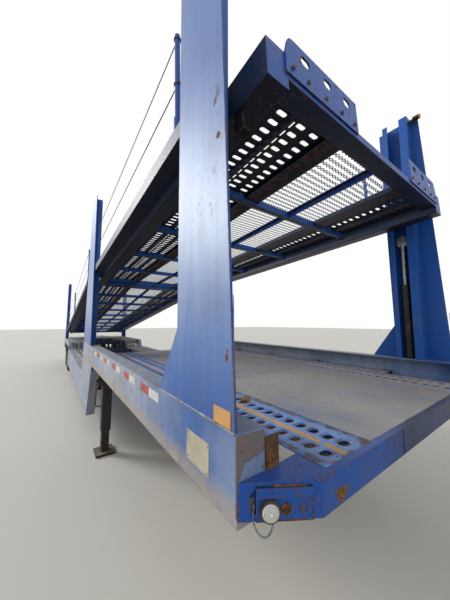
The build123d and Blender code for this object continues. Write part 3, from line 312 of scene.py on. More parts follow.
# the platform's tracks are rubbed to a pale blue, with rust round the slots and dust to the left
track_blue = old_paint("tyre_rubbed_track_paint", "4d82ca", "86abdc", "101c30", fade=0.8, rust=0.8, dust=0.2,
                       roughness=0.5, lee=0.55, edge=0.022)
# the other floors are rubbed to primer by tyres and lie under dust
floor_grey = old_paint("trodden_floor_plate_paint", "667a9a", "aeaca4", "12161d", fade=0.8, rust=0.35,
                       roughness=0.62, lee=0.25)
# black chassis enamel and silver wheel enamel, satin under road dust
chassis_black = old_paint("black_chassis_paint", "17181a", "2b2c2d", "0c0c0d", fade=0.6, dust=0.7, grime=0.4,
                          roughness=0.5)
wheel_silver = old_paint("silver_wheel_paint", "8b8d8f", "a6a8a9", "4a4a4a", fade=0.6, rust=0.3, dust=0.6,
                         grime=0.4)
# steels: hot-rolled plate gone to rust, bright where it is rubbed, and a spangle dulled on dipped zinc
rusty_plate = bare_steel("rusted_hot_rolled_plate", "6e6a66", "4b4642", rust=0.75, roughness=0.55,
                         metallic=0.5)
brown_rust = bare_steel("brown_rusted_steel", "59432f", "3a2a1e", rust=0.9, roughness=0.8, metallic=0.2)
worn_steel = bare_steel("rubbed_bare_steel", "a8a9aa", "77797b", rust=0.15, roughness=0.3)
wire_steel = bare_steel("stranded_steel_rope", "8b8d8e", "5d5f60", roughness=0.45, grain=0.01)
zinc = bare_steel("dip_galvanised_steel", "a9adb0", "84888b", rust=0.08, roughness=0.5, grain=0.02)
# moulded rubber and plastic: matt and dusty, and the acrylic lenses glossy
rubber = moulded("sun_greyed_tyre_rubber", "232323", "1a1a1a", 0.78, grain=0.004, depth=0.001, dust=0.28)
black_plastic = moulded("moulded_black_plastic", "1c1c1d", "121213", 0.5, dust=0.3)
clear_lens = moulded("ribbed_lamp_lens", "e8e6de", "d8d5cb", 0.22, dust=0.2, IOR=1.49)
amber_lens = moulded("amber_acrylic_lens", "e07a12", "c2610a", 0.2, dust=0.15, IOR=1.49)
pale_amber = moulded("sun_bleached_amber_lens", "d9a566", "bd8847", 0.25, dust=0.3, IOR=1.49)
red_lens = moulded("red_acrylic_lens", "b3161a", "8e0f13", 0.2, dust=0.15, IOR=1.49)
# glass-beaded tape and reflector plates, a tin plate and road paint, all dulled by road film
red_tape = moulded("red_beaded_tape", "b23a30", "8f2f2a", 0.45)
white_tape = moulded("white_beaded_tape", "d8d6d0", "bdbab2", 0.45, dust=0.3)
orange_tape = moulded("orange_beaded_tape", "d09a55", "b87f3c", 0.45)
tin_plate = moulded("dull_tin_plate", "b4ae97", "99937d", 0.5, dust=0.4)
yellow_line = moulded("road_yellow_paint", "dc9f48", "c28a3a", 0.6)

# Finish of each node, by the start of its name: the first row that fits holds
NODE_FINISHES = [
    (chassis_black, ("post_lamps", "lift_cylinder", "landing", "axle", "springs", "air_tanks", "brake")),
    (side_blue, ("side_frame", "rear_bumper")), (post_blue, ("post",)), (sill_blue, ("front_sill",)),
    (floor_grey, ("front_platform", "well_tracks", "rear_tracks")), (brown_rust, ("sill_brackets",)),
    (under_blue, ("gooseneck_frame", "well_frame", "rear_frame")), (rusty_plate, ("kingpin_plate",)),
    (worn_steel, ("kingpin", "lift_rods", "upper_rear_rollers")), (wheel_silver, ("wheels",)),
    (zinc, ("loading_ramps", "upper_front_mesh", "upper_rear_mesh")), (rubber, ("tyres",)),
    (black_plastic, ("mudguards", "front_lamps")), (red_lens, ("tail",)), (amber_lens, ("side_marker",)),
    (flank_shaded_blue, ("upper_front_side_beams", "upper_rear_side_beams")), (deck_blue, ("upper",)),
]
# Each imported node takes the finish of the first row that fits its name
for name, node in nodes.items():
    finish = next(finish for finish, starts in NODE_FINISHES if name.startswith(starts))
    for slot in node.material_slots:
        slot.material = finish


# Meshes worked out from arrays
def carried(sections, capped=True):
    """Skin over rings of points, where sections[k, n] is point n of ring k: each point is joined to the next
    of its ring and to its like in the next ring, and capped ends are flat."""
    rings, count = sections.shape[:2]
    step, start = np.arange(count), (np.arange(rings - 1) * count)[:, None]
    after = (step + 1) % count
    skin = np.stack([start + step, start + after, start + count + after, start + count + step], -1)
    faces = [skin.reshape(-1, 4)]
    if capped:
        faces += [step[None, ::-1], (rings - 1) * count + step[None]]
    return sections.reshape(-1, 3), faces


def block(low, high):
    """Upright box between two corners, as a rectangle carried upwards."""
    (x0, y0, z0), (x1, y1, z1) = low, high
    return carried(np.array([[(x0, y0, z), (x1, y0, z), (x1, y1, z), (x0, y1, z)] for z in (z0, z1)]))


def pad(x, y, long, wide, low, high):
    """Upright box between two heights, with its middle at x and y."""
    return block((x - long / 2, y - wide / 2, low), (x + long / 2, y + wide / 2, high))


def turned(profile, centre, axis, steps, capped=False):
    """Turned surface: a profile of (radius, distance along the axis) carried round the axis. Point n of each
    ring is at centre + distance * axis + radius * (cos a * side + sin a * other), a = 2 pi (n + 1/2) / steps."""
    axis = np.array(Vector(axis).normalized())
    side = np.array(Vector(axis).orthogonal().normalized())
    angle = 2 * pi * (np.arange(steps) + 0.5) / steps
    spoke = np.outer(np.cos(angle), side) + np.outer(np.sin(angle), np.cross(axis, side))
    radius, along = np.array(profile, float).T
    return carried(np.array(centre) + radius[:, None, None] * spoke + along[:, None, None] * axis, capped)


def rod(start, end, radius, steps=10):
    """Straight round bar between two points."""
    span = np.array(end) - np.array(start)
    return turned([(radius, 0), (radius, np.linalg.norm(span))], start, span, steps, capped=True)


def ring(centre, axis, radius, thick, steps, around=8):
    """Round ring: a circle of radius thick carried round the axis at the given radius."""
    turn = 2 * pi * np.arange(around + 1) / around
    return turned(np.column_stack([radius + thick * np.cos(turn), thick * np.sin(turn)]), centre, axis, steps)


def weld(start, end, radius):
    """Rippled weld bead: a rod whose radius swells and shrinks by a sixth every 12 mm."""
    start, end = np.array(start, float), np.array(end, float)
    long = np.linalg.norm(end - start)
    along = np.linspace(0, long, max(3, int(long / 0.006)))
    wave = radius * (1 + np.cos(2 * pi * along / 0.012) / 6)
    return turned(np.column_stack([wave, along]), start, end - start, 6, capped=True)


def bent_wire(points, radius, steps=6):
    """Wire along a smooth curve through the points: straight spans are rounded by repeated corner cutting,
    and each ring stands square to the chord between its neighbours."""
    path = np.array(points, float)
    for _ in range(3):
        early, late = 0.75 * path[:-1] + 0.25 * path[1:], 0.25 * path[:-1] + 0.75 * path[1:]
        path = np.concatenate([path[:1], np.stack([early, late], 1).reshape(-1, 3), path[-1:]])
    along = np.gradient(path, axis=0)
    along /= np.linalg.norm(along, axis=1, keepdims=True)
    side = np.cross(along, np.where(np.abs(along[:, 2:]) < 0.9, (0, 0, 1), (1, 0, 0)))
    side /= np.linalg.norm(side, axis=1, keepdims=True)
    other = np.cross(along, side)
    angle = 2 * pi * np.arange(steps)[:, None] / steps
    return carried(path[:, None] + radius * (np.cos(angle) * side[:, None] + np.sin(angle) * other[:, None]))


def slab(outline, thickness):
    """Flat plate: a flat outline of points carried square to itself by the thickness."""
    outline = np.array(outline, float)
    normal = np.cross(outline[1] - outline[0], outline[2] - outline[1])
    normal *= thickness / np.linalg.norm(normal)
    return carried(np.stack([outline, outline + normal]))


def repeated(shape, moves):
    """Copies of a shape, one at each move."""
    points, faces = shape
    moves = np.array(moves, float)
    shifts = np.arange(len(moves)) * len(points)
    return ((points + moves[:, None]).reshape(-1, 3),
            [(face + shifts[:, None, None]).reshape(-1, face.shape[1]) for face in faces])


def hexagons(points, direction, radius, height):
    """Hexagon heads with a small chamfer, one at each point, standing out in a direction."""
    profile = [(radius, -0.001), (radius, height * 0.8), (radius * 0.85, height)]
    return repeated(turned(profile, (0, 0, 0), direction, 6, capped=True), points)


def paired(*shapes):
    """Each shape, followed by its mirror image on the other side of the trailer."""
    pairs = []
    for points, faces in shapes:
        pairs += [(points, faces), (points * (1, -1, 1), [face[:, ::-1] for face in faces])]
    return pairs


def sloped(shape, origin, slope):
    """Shape moved from a deck's own axes, backwards, sideways and up, to the deck's place and slope."""
    points, faces = shape
    fall = radians(slope)
    axes = np.array([(-cos(fall), 0, -sin(fall)), (0, 1, 0), (-sin(fall), 0, cos(fall))])
    return points @ axes + np.array(origin), faces


def piece(name, shapes, material, body="chassis", closed=True):
    """New piece made of shapes, riding on a body. Doubles are merged, closed shapes face outwards, and edges
    that turn by more than 35 degrees are sharp."""
    starts = np.cumsum([0] + [len(points) for points, faces in shapes])
    rows = [(face + start).tolist() for start, (points, faces) in zip(starts, shapes) for face in faces]
    mesh = bpy.data.meshes.new(name)
    mesh.from_pydata(np.concatenate([points for points, faces in shapes]).tolist(), [], sum(rows, []))
    shell = bmesh.new()
    shell.from_mesh(mesh)
    bmesh.ops.remove_doubles(shell, verts=shell.verts, dist=1e-5)
    if closed:
        bmesh.ops.recalc_face_normals(shell, faces=shell.faces)
    shell.to_mesh(mesh)
    shell.free()
    mesh.shade_smooth()
    mesh.set_sharp_from_angle(angle=radians(35))
    mesh.materials.append(material)
    made = new_object(name, mesh)
    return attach(made, body)


def walled(made, thickness, offset):
    """The piece with walls of a thickness: behind its faces at offset -1, and on both sides of them at 0."""
    wall = made.modifiers.new("wall", "SOLIDIFY")
    wall.thickness, wall.offset = thickness, offset
    return made


# A slot's cell has 16 points on its outline and 16 on the slot: one quarter, mirrored into the others
STEP = np.arange(16)
QUARTER = 4 - np.abs(STEP % 8 - 4)
BACKWARDS = np.where(np.abs(STEP - 8) < 4, -1, 1)
SIDEWAYS = np.where(STEP < 8, 1, -1)


def slot_ring(along, across):
    """Slot with half-round ends, as 16 points about its middle."""
    radius = min(along, across) / 2
    arc = np.radians([0, 30, 60, 90])
    if along > across:
        x = np.append(along / 2 - radius + radius * np.cos(arc), 0)
        y = np.append(radius * np.sin(arc), radius)
    else:
        x = np.append(radius, radius * np.cos(arc))
        y = np.append(0, across / 2 - radius + radius * np.sin(arc))
    return BACKWARDS * x[QUARTER], SIDEWAYS * y[QUARTER]


def sheet_grid(places, low, high, shares):
    """Plain strip: a grid of places along the deck, and shares of the way from profile corner low to high."""
    corners = np.array(low) + np.outer(shares, np.array(high) - np.array(low))
    x = np.repeat(np.array(places, float)[:, None], len(shares), 1)
    points = np.concatenate([x[..., None], np.broadcast_to(corners, (*x.shape, 2))], -1)
    index = np.arange(x.size).reshape(x.shape)
    faces = np.stack([index[:-1, :-1], index[:-1, 1:], index[1:, 1:], index[1:, :-1]], -1).reshape(-1, 4)
    return points.reshape(-1, 3), [faces]


def slotted_cells(first, pitch, count, low, high, slot):
    """Row of cells with a slot in the middle of each: quads join the cell's outline to the slot's ring."""
    low, high = np.array(low), np.array(high)
    width = np.linalg.norm(high - low)
    slot_x, slot_y = slot_ring(*slot)
    x = np.concatenate([BACKWARDS * np.clip(2 - QUARTER / 2, 0, 1) * pitch / 2, slot_x])
    share = 0.5 + np.concatenate([SIDEWAYS * np.clip(QUARTER / 2, 0, 1) / 2, slot_y / width])
    cell = np.column_stack([x, low + share[:, None] * (high - low)])
    after = (STEP + 1) % 16
    faces = np.stack([STEP + 16, after + 16, after, STEP], -1)
    return repeated((cell, [faces]), [(first + pitch * i, 0, 0) for i in range(count)])


def slotted_sheet(profile, slots, start, end, first, pitch):
    """Folded sheet with rows of slots: profile holds (sideways, up) corners, and slots the (along, across)
    size of the slots in each flat between two corners, or None. Slots stand every pitch from first."""
    count = int((end - first - pitch / 2) / pitch)
    near, far = first - pitch / 2, first + pitch * (count - 0.5)
    shapes = []
    for low, high, slot in zip(profile, profile[1:], slots):
        if slot:
            shares = np.linspace(0, 1, 5)
            shapes += [sheet_grid(places, low, high, shares) for places in ([start, near], [far, end])]
            shapes.append(slotted_cells(first, pitch, count, low, high, slot))
        else:
            places = np.concatenate([[start], near + pitch * np.arange(4 * count + 1) / 4, [end]])
            shapes.append(sheet_grid(places, low, high, [0, 1]))
    return shapes


def track(name, sheets, node, material, body="chassis", thickness=SHEET):
    """Perforated track of both sides, with walls of the given thickness, in place of the part's track."""
    made = piece(name, paired(*sheets), material, body, closed=False)
    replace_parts(walled(made, thickness, -1), node)


# Upper deck: each section's own origin and slope, and how long it is
front_fall, rear_fall = radians(FRONT_SLOPE), radians(REAR_SLOPE)
hinge_back = (HINGE - DECK_FRONT) / cos(front_fall)
hinge_x = at(DECK_FRONT) - hinge_back * cos(front_fall) + HINGE_DROP * sin(front_fall)
hinge_z = DECK_HIGH - hinge_back * sin(front_fall) - HINGE_DROP * cos(front_fall)
rear_origin = (hinge_x - HINGE_DROP * sin(rear_fall), 0, hinge_z + HINGE_DROP * cos(rear_fall))
front_origin = (at(DECK_FRONT), 0, DECK_HIGH)
PLANES = {"upper_front": (front_origin, FRONT_SLOPE), "upper_rear": (rear_origin, REAR_SLOPE)}
FRONT_LONG = (DECK_BACK - DECK_FRONT) / cos(front_fall)
REAR_LONG = (REAR_DECK_BACK - HINGE) / cos(rear_fall)


def on_deck(section, shapes):
    """Shapes moved from the axes of a deck section to its place and slope."""
    return [sloped(shape, *PLANES[section]) for shape in shapes]


# Upper tracks: rows of oval slots, and a folded rib with slits. The inner edge is folded down and back
OVAL, SLIT = (0.028, 0.066), (0.045, 0.012)
UPPER_PITCH = 0.0625
FLOOR, FOLD_LOW, RIB_DEEP = -0.072, -0.112, 0.027
TRACK_INNER, FOLD_EDGE, TRACK_OUTER = 0.382, 0.525, 0.976
HEAD_WIDE, TAIL_WIDE = 0.102, 0.082


def flat(*places, height=FLOOR):
    """Corners of a level sheet at places across the track."""
    return [(place, height) for place in places]


def rib(near, far):
    """Corners of a shallow folded channel between two places across the track."""
    turn = (far - near) * 0.2
    return [*flat(near), *flat(near + turn, far - turn, height=FLOOR - RIB_DEEP), *flat(far)]


def upper_track(section, rows, slots, start, end):
    """Track of one deck section: its flats with their slots, and the fold under its inner edge."""
    fold = [(FOLD_EDGE, FOLD_LOW), (TRACK_INNER, FOLD_LOW), (TRACK_INNER, FLOOR)]
    first = start + 0.16
    sheets = (slotted_sheet(rows, slots, start + 0.01, end, first, UPPER_PITCH)
              + slotted_sheet(fold, [None] * 2, start + HEAD_WIDE, end - TAIL_WIDE, first, UPPER_PITCH))
    tracks = section + "_tracks"
    track(tracks + "_slotted", on_deck(section, sheets), tracks, under_blue, section, 0.005)


front_rows = [*flat(TRACK_INNER, 0.532, 0.608, 0.647, 0.723), *rib(0.73, 0.794),
              *flat(0.798, 0.874, TRACK_OUTER)]
front_slots = [None, OVAL, None, OVAL, None, None, SLIT, None, None, OVAL, None]
upper_track("upper_front", front_rows, front_slots, 0.0, FRONT_LONG)
rear_rows = [*flat(TRACK_INNER, 0.462, 0.538, 0.572, 0.648), *rib(0.665, 0.728),
             *flat(0.732, 0.808, 0.852, 0.928, TRACK_OUTER)]
rear_slots = [None, OVAL, None, OVAL, None, None, SLIT, None, None, OVAL, None, OVAL, None]
upper_track("upper_rear", rear_rows, rear_slots, REAR_START, REAR_LONG)

# Lower tracks: wider slots with rounded ends. The platform's outer rows start behind the front corners
WIDE_OVAL = (0.04, 0.062)
LOWER_PITCH = 0.0705
inner_rows = flat(0.63, 0.697, 0.773, 0.827, 0.903, 0.95, height=0)
outer_rows = flat(0.95, 0.972, 1.048, 1.12, height=0)
well_rows = inner_rows[:-1] + flat(0.972, 1.048, 1.128, height=0)
slots = [None, WIDE_OVAL] * 3 + [None]
platform = (slotted_sheet(inner_rows, slots[:5], 0.032, 3.8, 0.088, LOWER_PITCH)
            + slotted_sheet(outer_rows, slots[:3], 0.62, 3.8, 0.68, LOWER_PITCH))
track("platform_tracks_slotted", [sloped(sheet, (FRONT, 0, SILL_TOP), 0.0) for sheet in platform],
      "front_platform_tracks", track_blue)


def stretch(start, start_height, end, end_height, margin):
    """Length of track between two places behind the sill, on its own slope, its first slot at the margin."""
    long = np.hypot(end - start, start_height - end_height)
    slope = np.degrees(np.arctan2(start_height - end_height, end - start))
    sheets = slotted_sheet(well_rows, slots, 0.0, long, margin, LOWER_PITCH)
    return [sloped(sheet, (at(start), 0, start_height), slope) for sheet in sheets]


track("well_tracks_slotted",
      stretch(PLATFORM_BACK, SILL_TOP, STEP_BACK, WELL_Z, 0.09)
      + stretch(STEP_BACK, WELL_Z, RAMP_FOOT, WELL_Z, 0.1)
      + stretch(RAMP_FOOT, WELL_Z, RAMP_HEAD, REAR_Z, 0.08),
      "well_tracks", floor_grey)
track("rear_tracks_slotted", stretch(RAMP_HEAD + 0.002, REAR_Z, LENGTH - 0.02, REAR_Z, 0.09),
      "rear_tracks", floor_grey)

# Expanded metal: zigzag strands across the deck, each touching the next at its knuckles
LONG_WAY, SHORT_WAY = 0.072, 0.044
STRAND_WIDE, STRAND_THICK = 0.007, 0.003
MESH_HALF, MESH_HIGH = 0.378, FLOOR - 0.006


def deck_mesh(section, start, end):
    """Expanded metal between the tracks of a deck section. Strand k runs across the deck, back and forth
    between start + short way * (k + 1/4) and (k + 3/4), turning every half long way, and is flat."""
    turns = np.arange(-MESH_HALF, MESH_HALF + 1e-6, LONG_WAY / 2)
    wave = SHORT_WAY / 4 * (1 - 2 * (np.arange(len(turns)) % 2))
    corners = np.array([(-1, -1), (1, -1), (1, 1), (-1, 1)]) * (STRAND_WIDE / 2, STRAND_THICK / 2)
    x = wave[:, None] + corners[:, 0]
    y = np.repeat(turns[:, None], 4, 1)
    z = np.repeat(corners[None, :, 1], len(turns), 0) + MESH_HIGH
    strand = carried(np.stack([x, y, z], -1))
    count = int((end - start) / SHORT_WAY)
    points, faces = odd = repeated(strand, [(start + SHORT_WAY * (k + 0.5), 0, 0) for k in range(count)])
    even = (points * (-1, 1, 1) + (2 * start + SHORT_WAY * count, 0, 0), [face[:, ::-1] for face in faces])
    made = piece(section + "_expanded_metal", on_deck(section, [odd, even]), zinc, section)
    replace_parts(made, section + "_mesh")


deck_mesh("upper_front", 0.1, FRONT_LONG - 0.08)
deck_mesh("upper_rear", REAR_START + 0.1, REAR_LONG - 0.08)

# Tyres: a worn ribbed tread with four grooves, bulged side walls and a bead on the rim
TYRE_RADIUS, RIM_RADIUS = 0.393, 0.222
TYRE_MIDDLES = (0.825, 1.105)
GROOVES, GROOVE_WIDE, GROOVE_DEEP = (0.022, 0.066), 0.009, 0.011
SIDE_WALL = [(0.005, 0.096), (0.016, 0.106), (0.04, 0.113), (0.075, 0.1215), (0.11, 0.1195), (0.14, 0.11)]
BEAD = [(0.012, 0.103), (0.001, 0.098), (0.001, 0.09)]
ACROSS, DOWN = (0, 1, 0), (0, 0, -1)
TWINS = [(f"{axle}_{word}", f"{axle}_wheels_{word}", at(place), side)
         for axle, place in AXLES.items() for word, side in (("right", -1), ("left", 1))]


def tyre_profile():
    """Half round the section from the tread's middle to the bead, then mirrored: (radius, across)."""
    tread, floor = TYRE_RADIUS - 0.001, TYRE_RADIUS - GROOVE_DEEP
    half = [(tread, 0.0)]
    for groove in GROOVES:
        half += [(tread, groove - GROOVE_WIDE / 2), (floor, groove - GROOVE_WIDE / 3),
                 (floor, groove + GROOVE_WIDE / 3), (TYRE_RADIUS - 0.0015, groove + GROOVE_WIDE / 2)]
    half += [(TYRE_RADIUS - lower, across) for lower, across in SIDE_WALL]
    half = np.array(half + [(RIM_RADIUS + higher, across) for higher, across in BEAD])
    return np.concatenate([half[:0:-1] * (1, -1), half])


inside = [(RIM_RADIUS + 0.001, -0.09), (RIM_RADIUS + 0.001, 0.09)]
for ends, body, x, side in TWINS:
    shapes = [turned(profile, (x, side * middle, AXLE_Z), ACROSS, 72)
              for profile in (tyre_profile(), inside) for middle in TYRE_MIDDLES]
    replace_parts(piece("ribbed_tyres_" + ends, shapes, rubber, body), "tyres_" + ends)

# Twin wheels: rolled rims with a dropped middle, dished discs with hand holes, and hubs held by ten nuts
TWIN_MIDDLE = sum(TYRE_MIDDLES) / 2
HAND_HOLES, HAND_HOLE = 8, 0.048
NUT_RING, BOLT_RING = 0.122, 0.073
NUT_ANGLES = 2 * pi * (np.arange(10) + 0.5) / 10
RIM_SHEET = [(0.236, -0.109), (0.228, -0.107), (0.219, -0.101), (0.219, -0.062), (0.201, -0.046),
             (0.201, 0.046), (0.219, 0.062), (0.219, 0.101), (0.228, 0.107), (0.236, 0.109)]
DISH = np.array([(0.1, 0.006), (0.14, 0.006), (0.152, 0.01), (0.18, 0.048), (0.201, 0.082)])
DRUM = [(0.06, 0.0), (0.168, 0.0), (0.17, 0.01), (0.17, 0.12), (0.15, 0.132), (0.06, 0.136)]
HUB = [(0.098, 0.0), (0.098, 0.128), (0.084, 0.138), (0.08, 0.236), (0.088, 0.24),
       (0.088, 0.252), (0.064, 0.258), (0.062, 0.3), (0.052, 0.314), (0.024, 0.319)]
BOLT_Y = 1.112


def disc(x, side, outward):
    """Dished disc of one wheel, worked out flat and rolled up: its length becomes the angle length / mean
    radius, its width the radius, and its distance from the twins' middle follows the dish's profile."""
    bore, low, mean, high = 0.1, 0.142, 0.17, 0.198
    around = 2 * pi * mean
    pitch = around / HAND_HOLES
    quarters = np.arange(4 * HAND_HOLES + 1) * pitch / 4 - pitch / 2
    rolled = []
    for points, faces in (slotted_cells(0.0, pitch, HAND_HOLES, (low, 0), (high, 0), (HAND_HOLE, HAND_HOLE)),
                          sheet_grid(quarters, (bore, 0), (low, 0), [0, 0.6, 1])):
        angle, radius = 2 * pi * points[:, 0] / around, points[:, 1]
        away = np.interp(radius, *DISH.T)
        rolled.append((np.stack([x + radius * np.sin(angle), side * (TWIN_MIDDLE + outward * away),
                                 AXLE_Z + radius * np.cos(angle)], -1), faces))
    return rolled


def round_axle(x, y, radius, angles):
    """Points on a circle round an axle, at the given angles from straight ahead."""
    return np.column_stack([x + radius * np.cos(angles), np.full(len(angles), y),
                            AXLE_Z + radius * np.sin(angles)])


for ends, body, x, side in TWINS:
    out = (0, side, 0)
    rims = [turned(RIM_SHEET, (x, side * middle, AXLE_Z), ACROSS, 48) for middle in TYRE_MIDDLES]
    discs = disc(x, side, 1) + disc(x, side, -1)
    dished = piece("dished_wheels_" + ends, rims + discs, wheel_silver, body, closed=False)
    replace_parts(walled(dished, 0.006, 0.0), "wheels_" + ends)
    hub = [turned(profile, (x, side * y, AXLE_Z), out, steps, True)
           for profile, y, steps in ((HUB, 0.86, 32), (DRUM, 0.69, 40))]
    piece("hubs_and_drums_" + ends, hub, chassis_black, body)
    studs = round_axle(x, side * (TWIN_MIDDLE + 0.009), NUT_RING, NUT_ANGLES)
    nuts = [hexagons(studs, out, 0.0135, 0.02), hexagons(studs, out, 0.007, 0.032)]
    piece("wheel_nuts_" + ends, nuts, rusty_plate, body)
    cap_bolts = hexagons(round_axle(x, side * BOLT_Y, BOLT_RING, NUT_ANGLES[::2]), out, 0.007, 0.006)
    piece("hub_bolts_" + ends, [cap_bolts], chassis_black, body)

# Springs: seats under and over each axle, clips round the leaves, U-bolts, and bolts in the eyes
SPRING_Y, SEAT_Z = 0.5, AXLE_Z + 0.06
EYE_AWAY, CLIP_AWAY = 0.48, 0.27
U_BOLT, U_BOLT_TOP = 0.009, SEAT_Z + 0.088
spring_trim, u_bolts = [], []
for place in AXLES.values():
    for x in (at(place - 0.045), at(place + 0.045)):
        legs = [(x, SPRING_Y + aside) for aside in (-0.046, 0.046)]
        u_bolts += [rod((*leg, AXLE_Z - 0.1), (*leg, U_BOLT_TOP + 0.004), U_BOLT) for leg in legs]
        u_bolts += [rod((x, SPRING_Y - 0.055, U_BOLT_TOP), (x, SPRING_Y + 0.055, U_BOLT_TOP), U_BOLT),
                    hexagons([(*leg, AXLE_Z - 0.075) for leg in legs], DOWN, 0.015, 0.015)]
    spring_trim += [pad(at(place), SPRING_Y, 0.15, 0.12, AXLE_Z - 0.075, AXLE_Z - 0.061),
                    pad(at(place), SPRING_Y, 0.14, 0.084, SEAT_Z + 0.07, SEAT_Z + 0.084)]
    for end in (-1, 1):
        eye = (at(place + end * EYE_AWAY), SPRING_Y + 0.039, SEAT_Z + 0.17)
        u_bolts.append(hexagons([eye], ACROSS, 0.017, 0.014))
        clip_x = at(place + end * CLIP_AWAY)
        spring_trim.append(pad(clip_x, SPRING_Y, 0.036, 0.088, SEAT_Z + 0.036, SEAT_Z + 0.12))
piece("spring_clips_and_seats", paired(*spring_trim), chassis_black)
piece("u_bolts_and_shackle_bolts", paired(*u_bolts), rusty_plate)

# Landing legs: a gearbox with a folded crank on the right, a cross shaft, and bolts in the leg heads
LEG_X, GEAR_Y, GEAR_Z = at(LEG_BACK), -(LEG_Y + 0.06), 0.99
GEAR_WIDE, CRANK_Y = 0.062, GEAR_Y - 0.078
CRANK = [(0, 0.018, 0), (0, 0, 0), (0, 0, -0.05), (-0.03, 0, -0.36), (-0.03, 0.03, -0.37),
         (-0.032, 0.11, -0.372)]
collar = [(0.026, 0), (0.026, 0.018), (0.018, 0.024)]
gear = [pad(LEG_X, GEAR_Y - GEAR_WIDE / 2, 0.11, GEAR_WIDE, GEAR_Z - 0.085, GEAR_Z + 0.085),
        rod((LEG_X, -LEG_Y, GEAR_Z), (LEG_X, LEG_Y, GEAR_Z), 0.014, 12),
        turned(collar, (LEG_X, GEAR_Y - GEAR_WIDE, GEAR_Z), (0, -1, 0), 16, True)]
piece("leg_gearbox_and_shaft", gear, chassis_black)
piece("leg_crank", [bent_wire(np.array(CRANK) + (LEG_X, CRANK_Y, GEAR_Z), 0.009, 8)], rusty_plate)
heads = [(LEG_X + ahead, LEG_Y + aside, SILL_BOTTOM - 0.031)
         for ahead in (0.105, -0.105) for aside in (-0.035, 0.035)]
piece("leg_head_bolts", paired(hexagons(heads, DOWN, 0.012, 0.01)), rusty_plate)

# Front corners: the chamfer's middle and directions, square to it and along it, on the right
CORNER, CORNER_IN = 0.14, 0.23
corner_out = np.array([CORNER_IN, -CORNER, 0]) / np.hypot(CORNER, CORNER_IN)
corner_along = np.array([corner_out[1], -corner_out[0], 0])
corner_middle = np.array([at(CORNER / 2), CORNER_IN / 2 - HALF, (SILL_TOP + SILL_BOTTOM) / 2])


def on_corner(*rows):
    """Places on the right chamfer, for rows of (along it towards the side, up it, out of it)."""
    along, up, out = np.moveaxis(np.array(rows, float), -1, 0)[..., None]
    return corner_middle + along * corner_along + out * corner_out + up * np.array([0, 0, 1])


# folded cover over the recess: a sloping ledge above and a flush panel below it
COVER_END, COVER_START, COVER_LOW = -0.1026, 0.077, -0.0552
COVER_FOLD = [(0.0445, 0.0005), (0.038, 0.011), (0.0135, 0.009), (0.012, 0.0015), (COVER_LOW, 0.0015),
              (COVER_LOW, -0.004), (0.0445, -0.004)]
ends = [[(along, *corner) for corner in COVER_FOLD] for along in (COVER_END, COVER_START)]
piece("corner_lamp_panels", paired(carried(on_corner(*ends))), sill_blue)
# thin black sheets in the recess's open ends: painted shade for the dark inside
RECESS = [(0.083, 0.016, 0), (0.083, -0.03, 0), (0.096, -0.042, 0), (0.096, 0.01, 0)]
piece("shade_sheets_in_lamp_recess_ends", paired(slab(on_corner(*RECESS), 0.0012)), black_plastic)

# round lamp: rubber housing with a bezel, a domed lens and three moulded ribs on it
LAMP = (0.0348, -0.0233)
HOUSING = [(0.033, -0.0005), (0.033, 0.006), (0.0305, 0.012), (0.0265, 0.0122)]
LENS = [(0.0262, -0.006), (0.0262, 0.001), (0.024, 0.0045), (0.018, 0.007), (0.009, 0.0082), (0.002, 0.0084)]
RIB_RADII, RIB_OUT = (0.0085, 0.0145, 0.0205), (0.0232, 0.0222, 0.0208)
seat, front, glass, *rounds = on_corner(*[(*LAMP, out) for out in (0.0015, 0.013, 0.015, *RIB_OUT)])
housing, bezel = turned(HOUSING, seat, corner_out, 28, True), ring(front, corner_out, 0.0286, 0.0032, 28)
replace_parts(piece("front_lamp_housings", paired(housing, bezel), rubber), "front_lamps")
piece("front_lamp_lenses", paired(turned(LENS, glass, corner_out, 28, True)), clear_lens)
lens_ribs = [ring(centre, corner_out, radius, 0.0012, 24, 6) for centre, radius in zip(rounds, RIB_RADII)]
piece("front_lamp_lens_ribs", paired(*lens_ribs), zinc)

# boss of the lamp's bolt, drain hole with its washer, weld beads round the cover, and the wire loop
BOSS = [(0.017, 0), (0.016, 0.006), (0.011, 0.009), (0.0105, 0.002), (0.004, 0.002)]
boss, drain = on_corner((-0.0166, -0.0205, 0.001), (-0.0707, -0.0222, 0.0015))
corner_trim = [turned(BOSS, boss, corner_out, 20, True), ring(drain, corner_out, 0.0125, 0.0022, 20),
               weld(*on_corner((-0.08, 0.044, 0.001), (0.02, 0.0455, 0.001)), 0.0035),
               weld(*on_corner((COVER_END, 0.01, 0.001), (COVER_END, -0.053, 0.001)), 0.003),
               weld(*on_corner((COVER_END, COVER_LOW, 0.0005), (COVER_START, COVER_LOW, 0.0005)), 0.0025)]
piece("corner_boss_and_beads", paired(*corner_trim), brown_rust)
# the drain hole is a black disc: painted shade for its dark inside
hole = turned([(0.0048, 0), (0.0048, 0.0008)], drain, corner_out, 16, True)
piece("corner_drain_hole_shade_discs", paired(hole), black_plastic)
LOOP = [(0.083, -0.005, 0.002), (0.09, -0.045, 0.008), (0.074, -0.08, 0.014),
        (0.052, -0.092, 0.016), (0.034, -0.078, 0.014), (0.026, -0.052, 0.008)]
piece("lamp_tie_wire", [bent_wire(on_corner(*LOOP), 0.0026)], wire_steel)

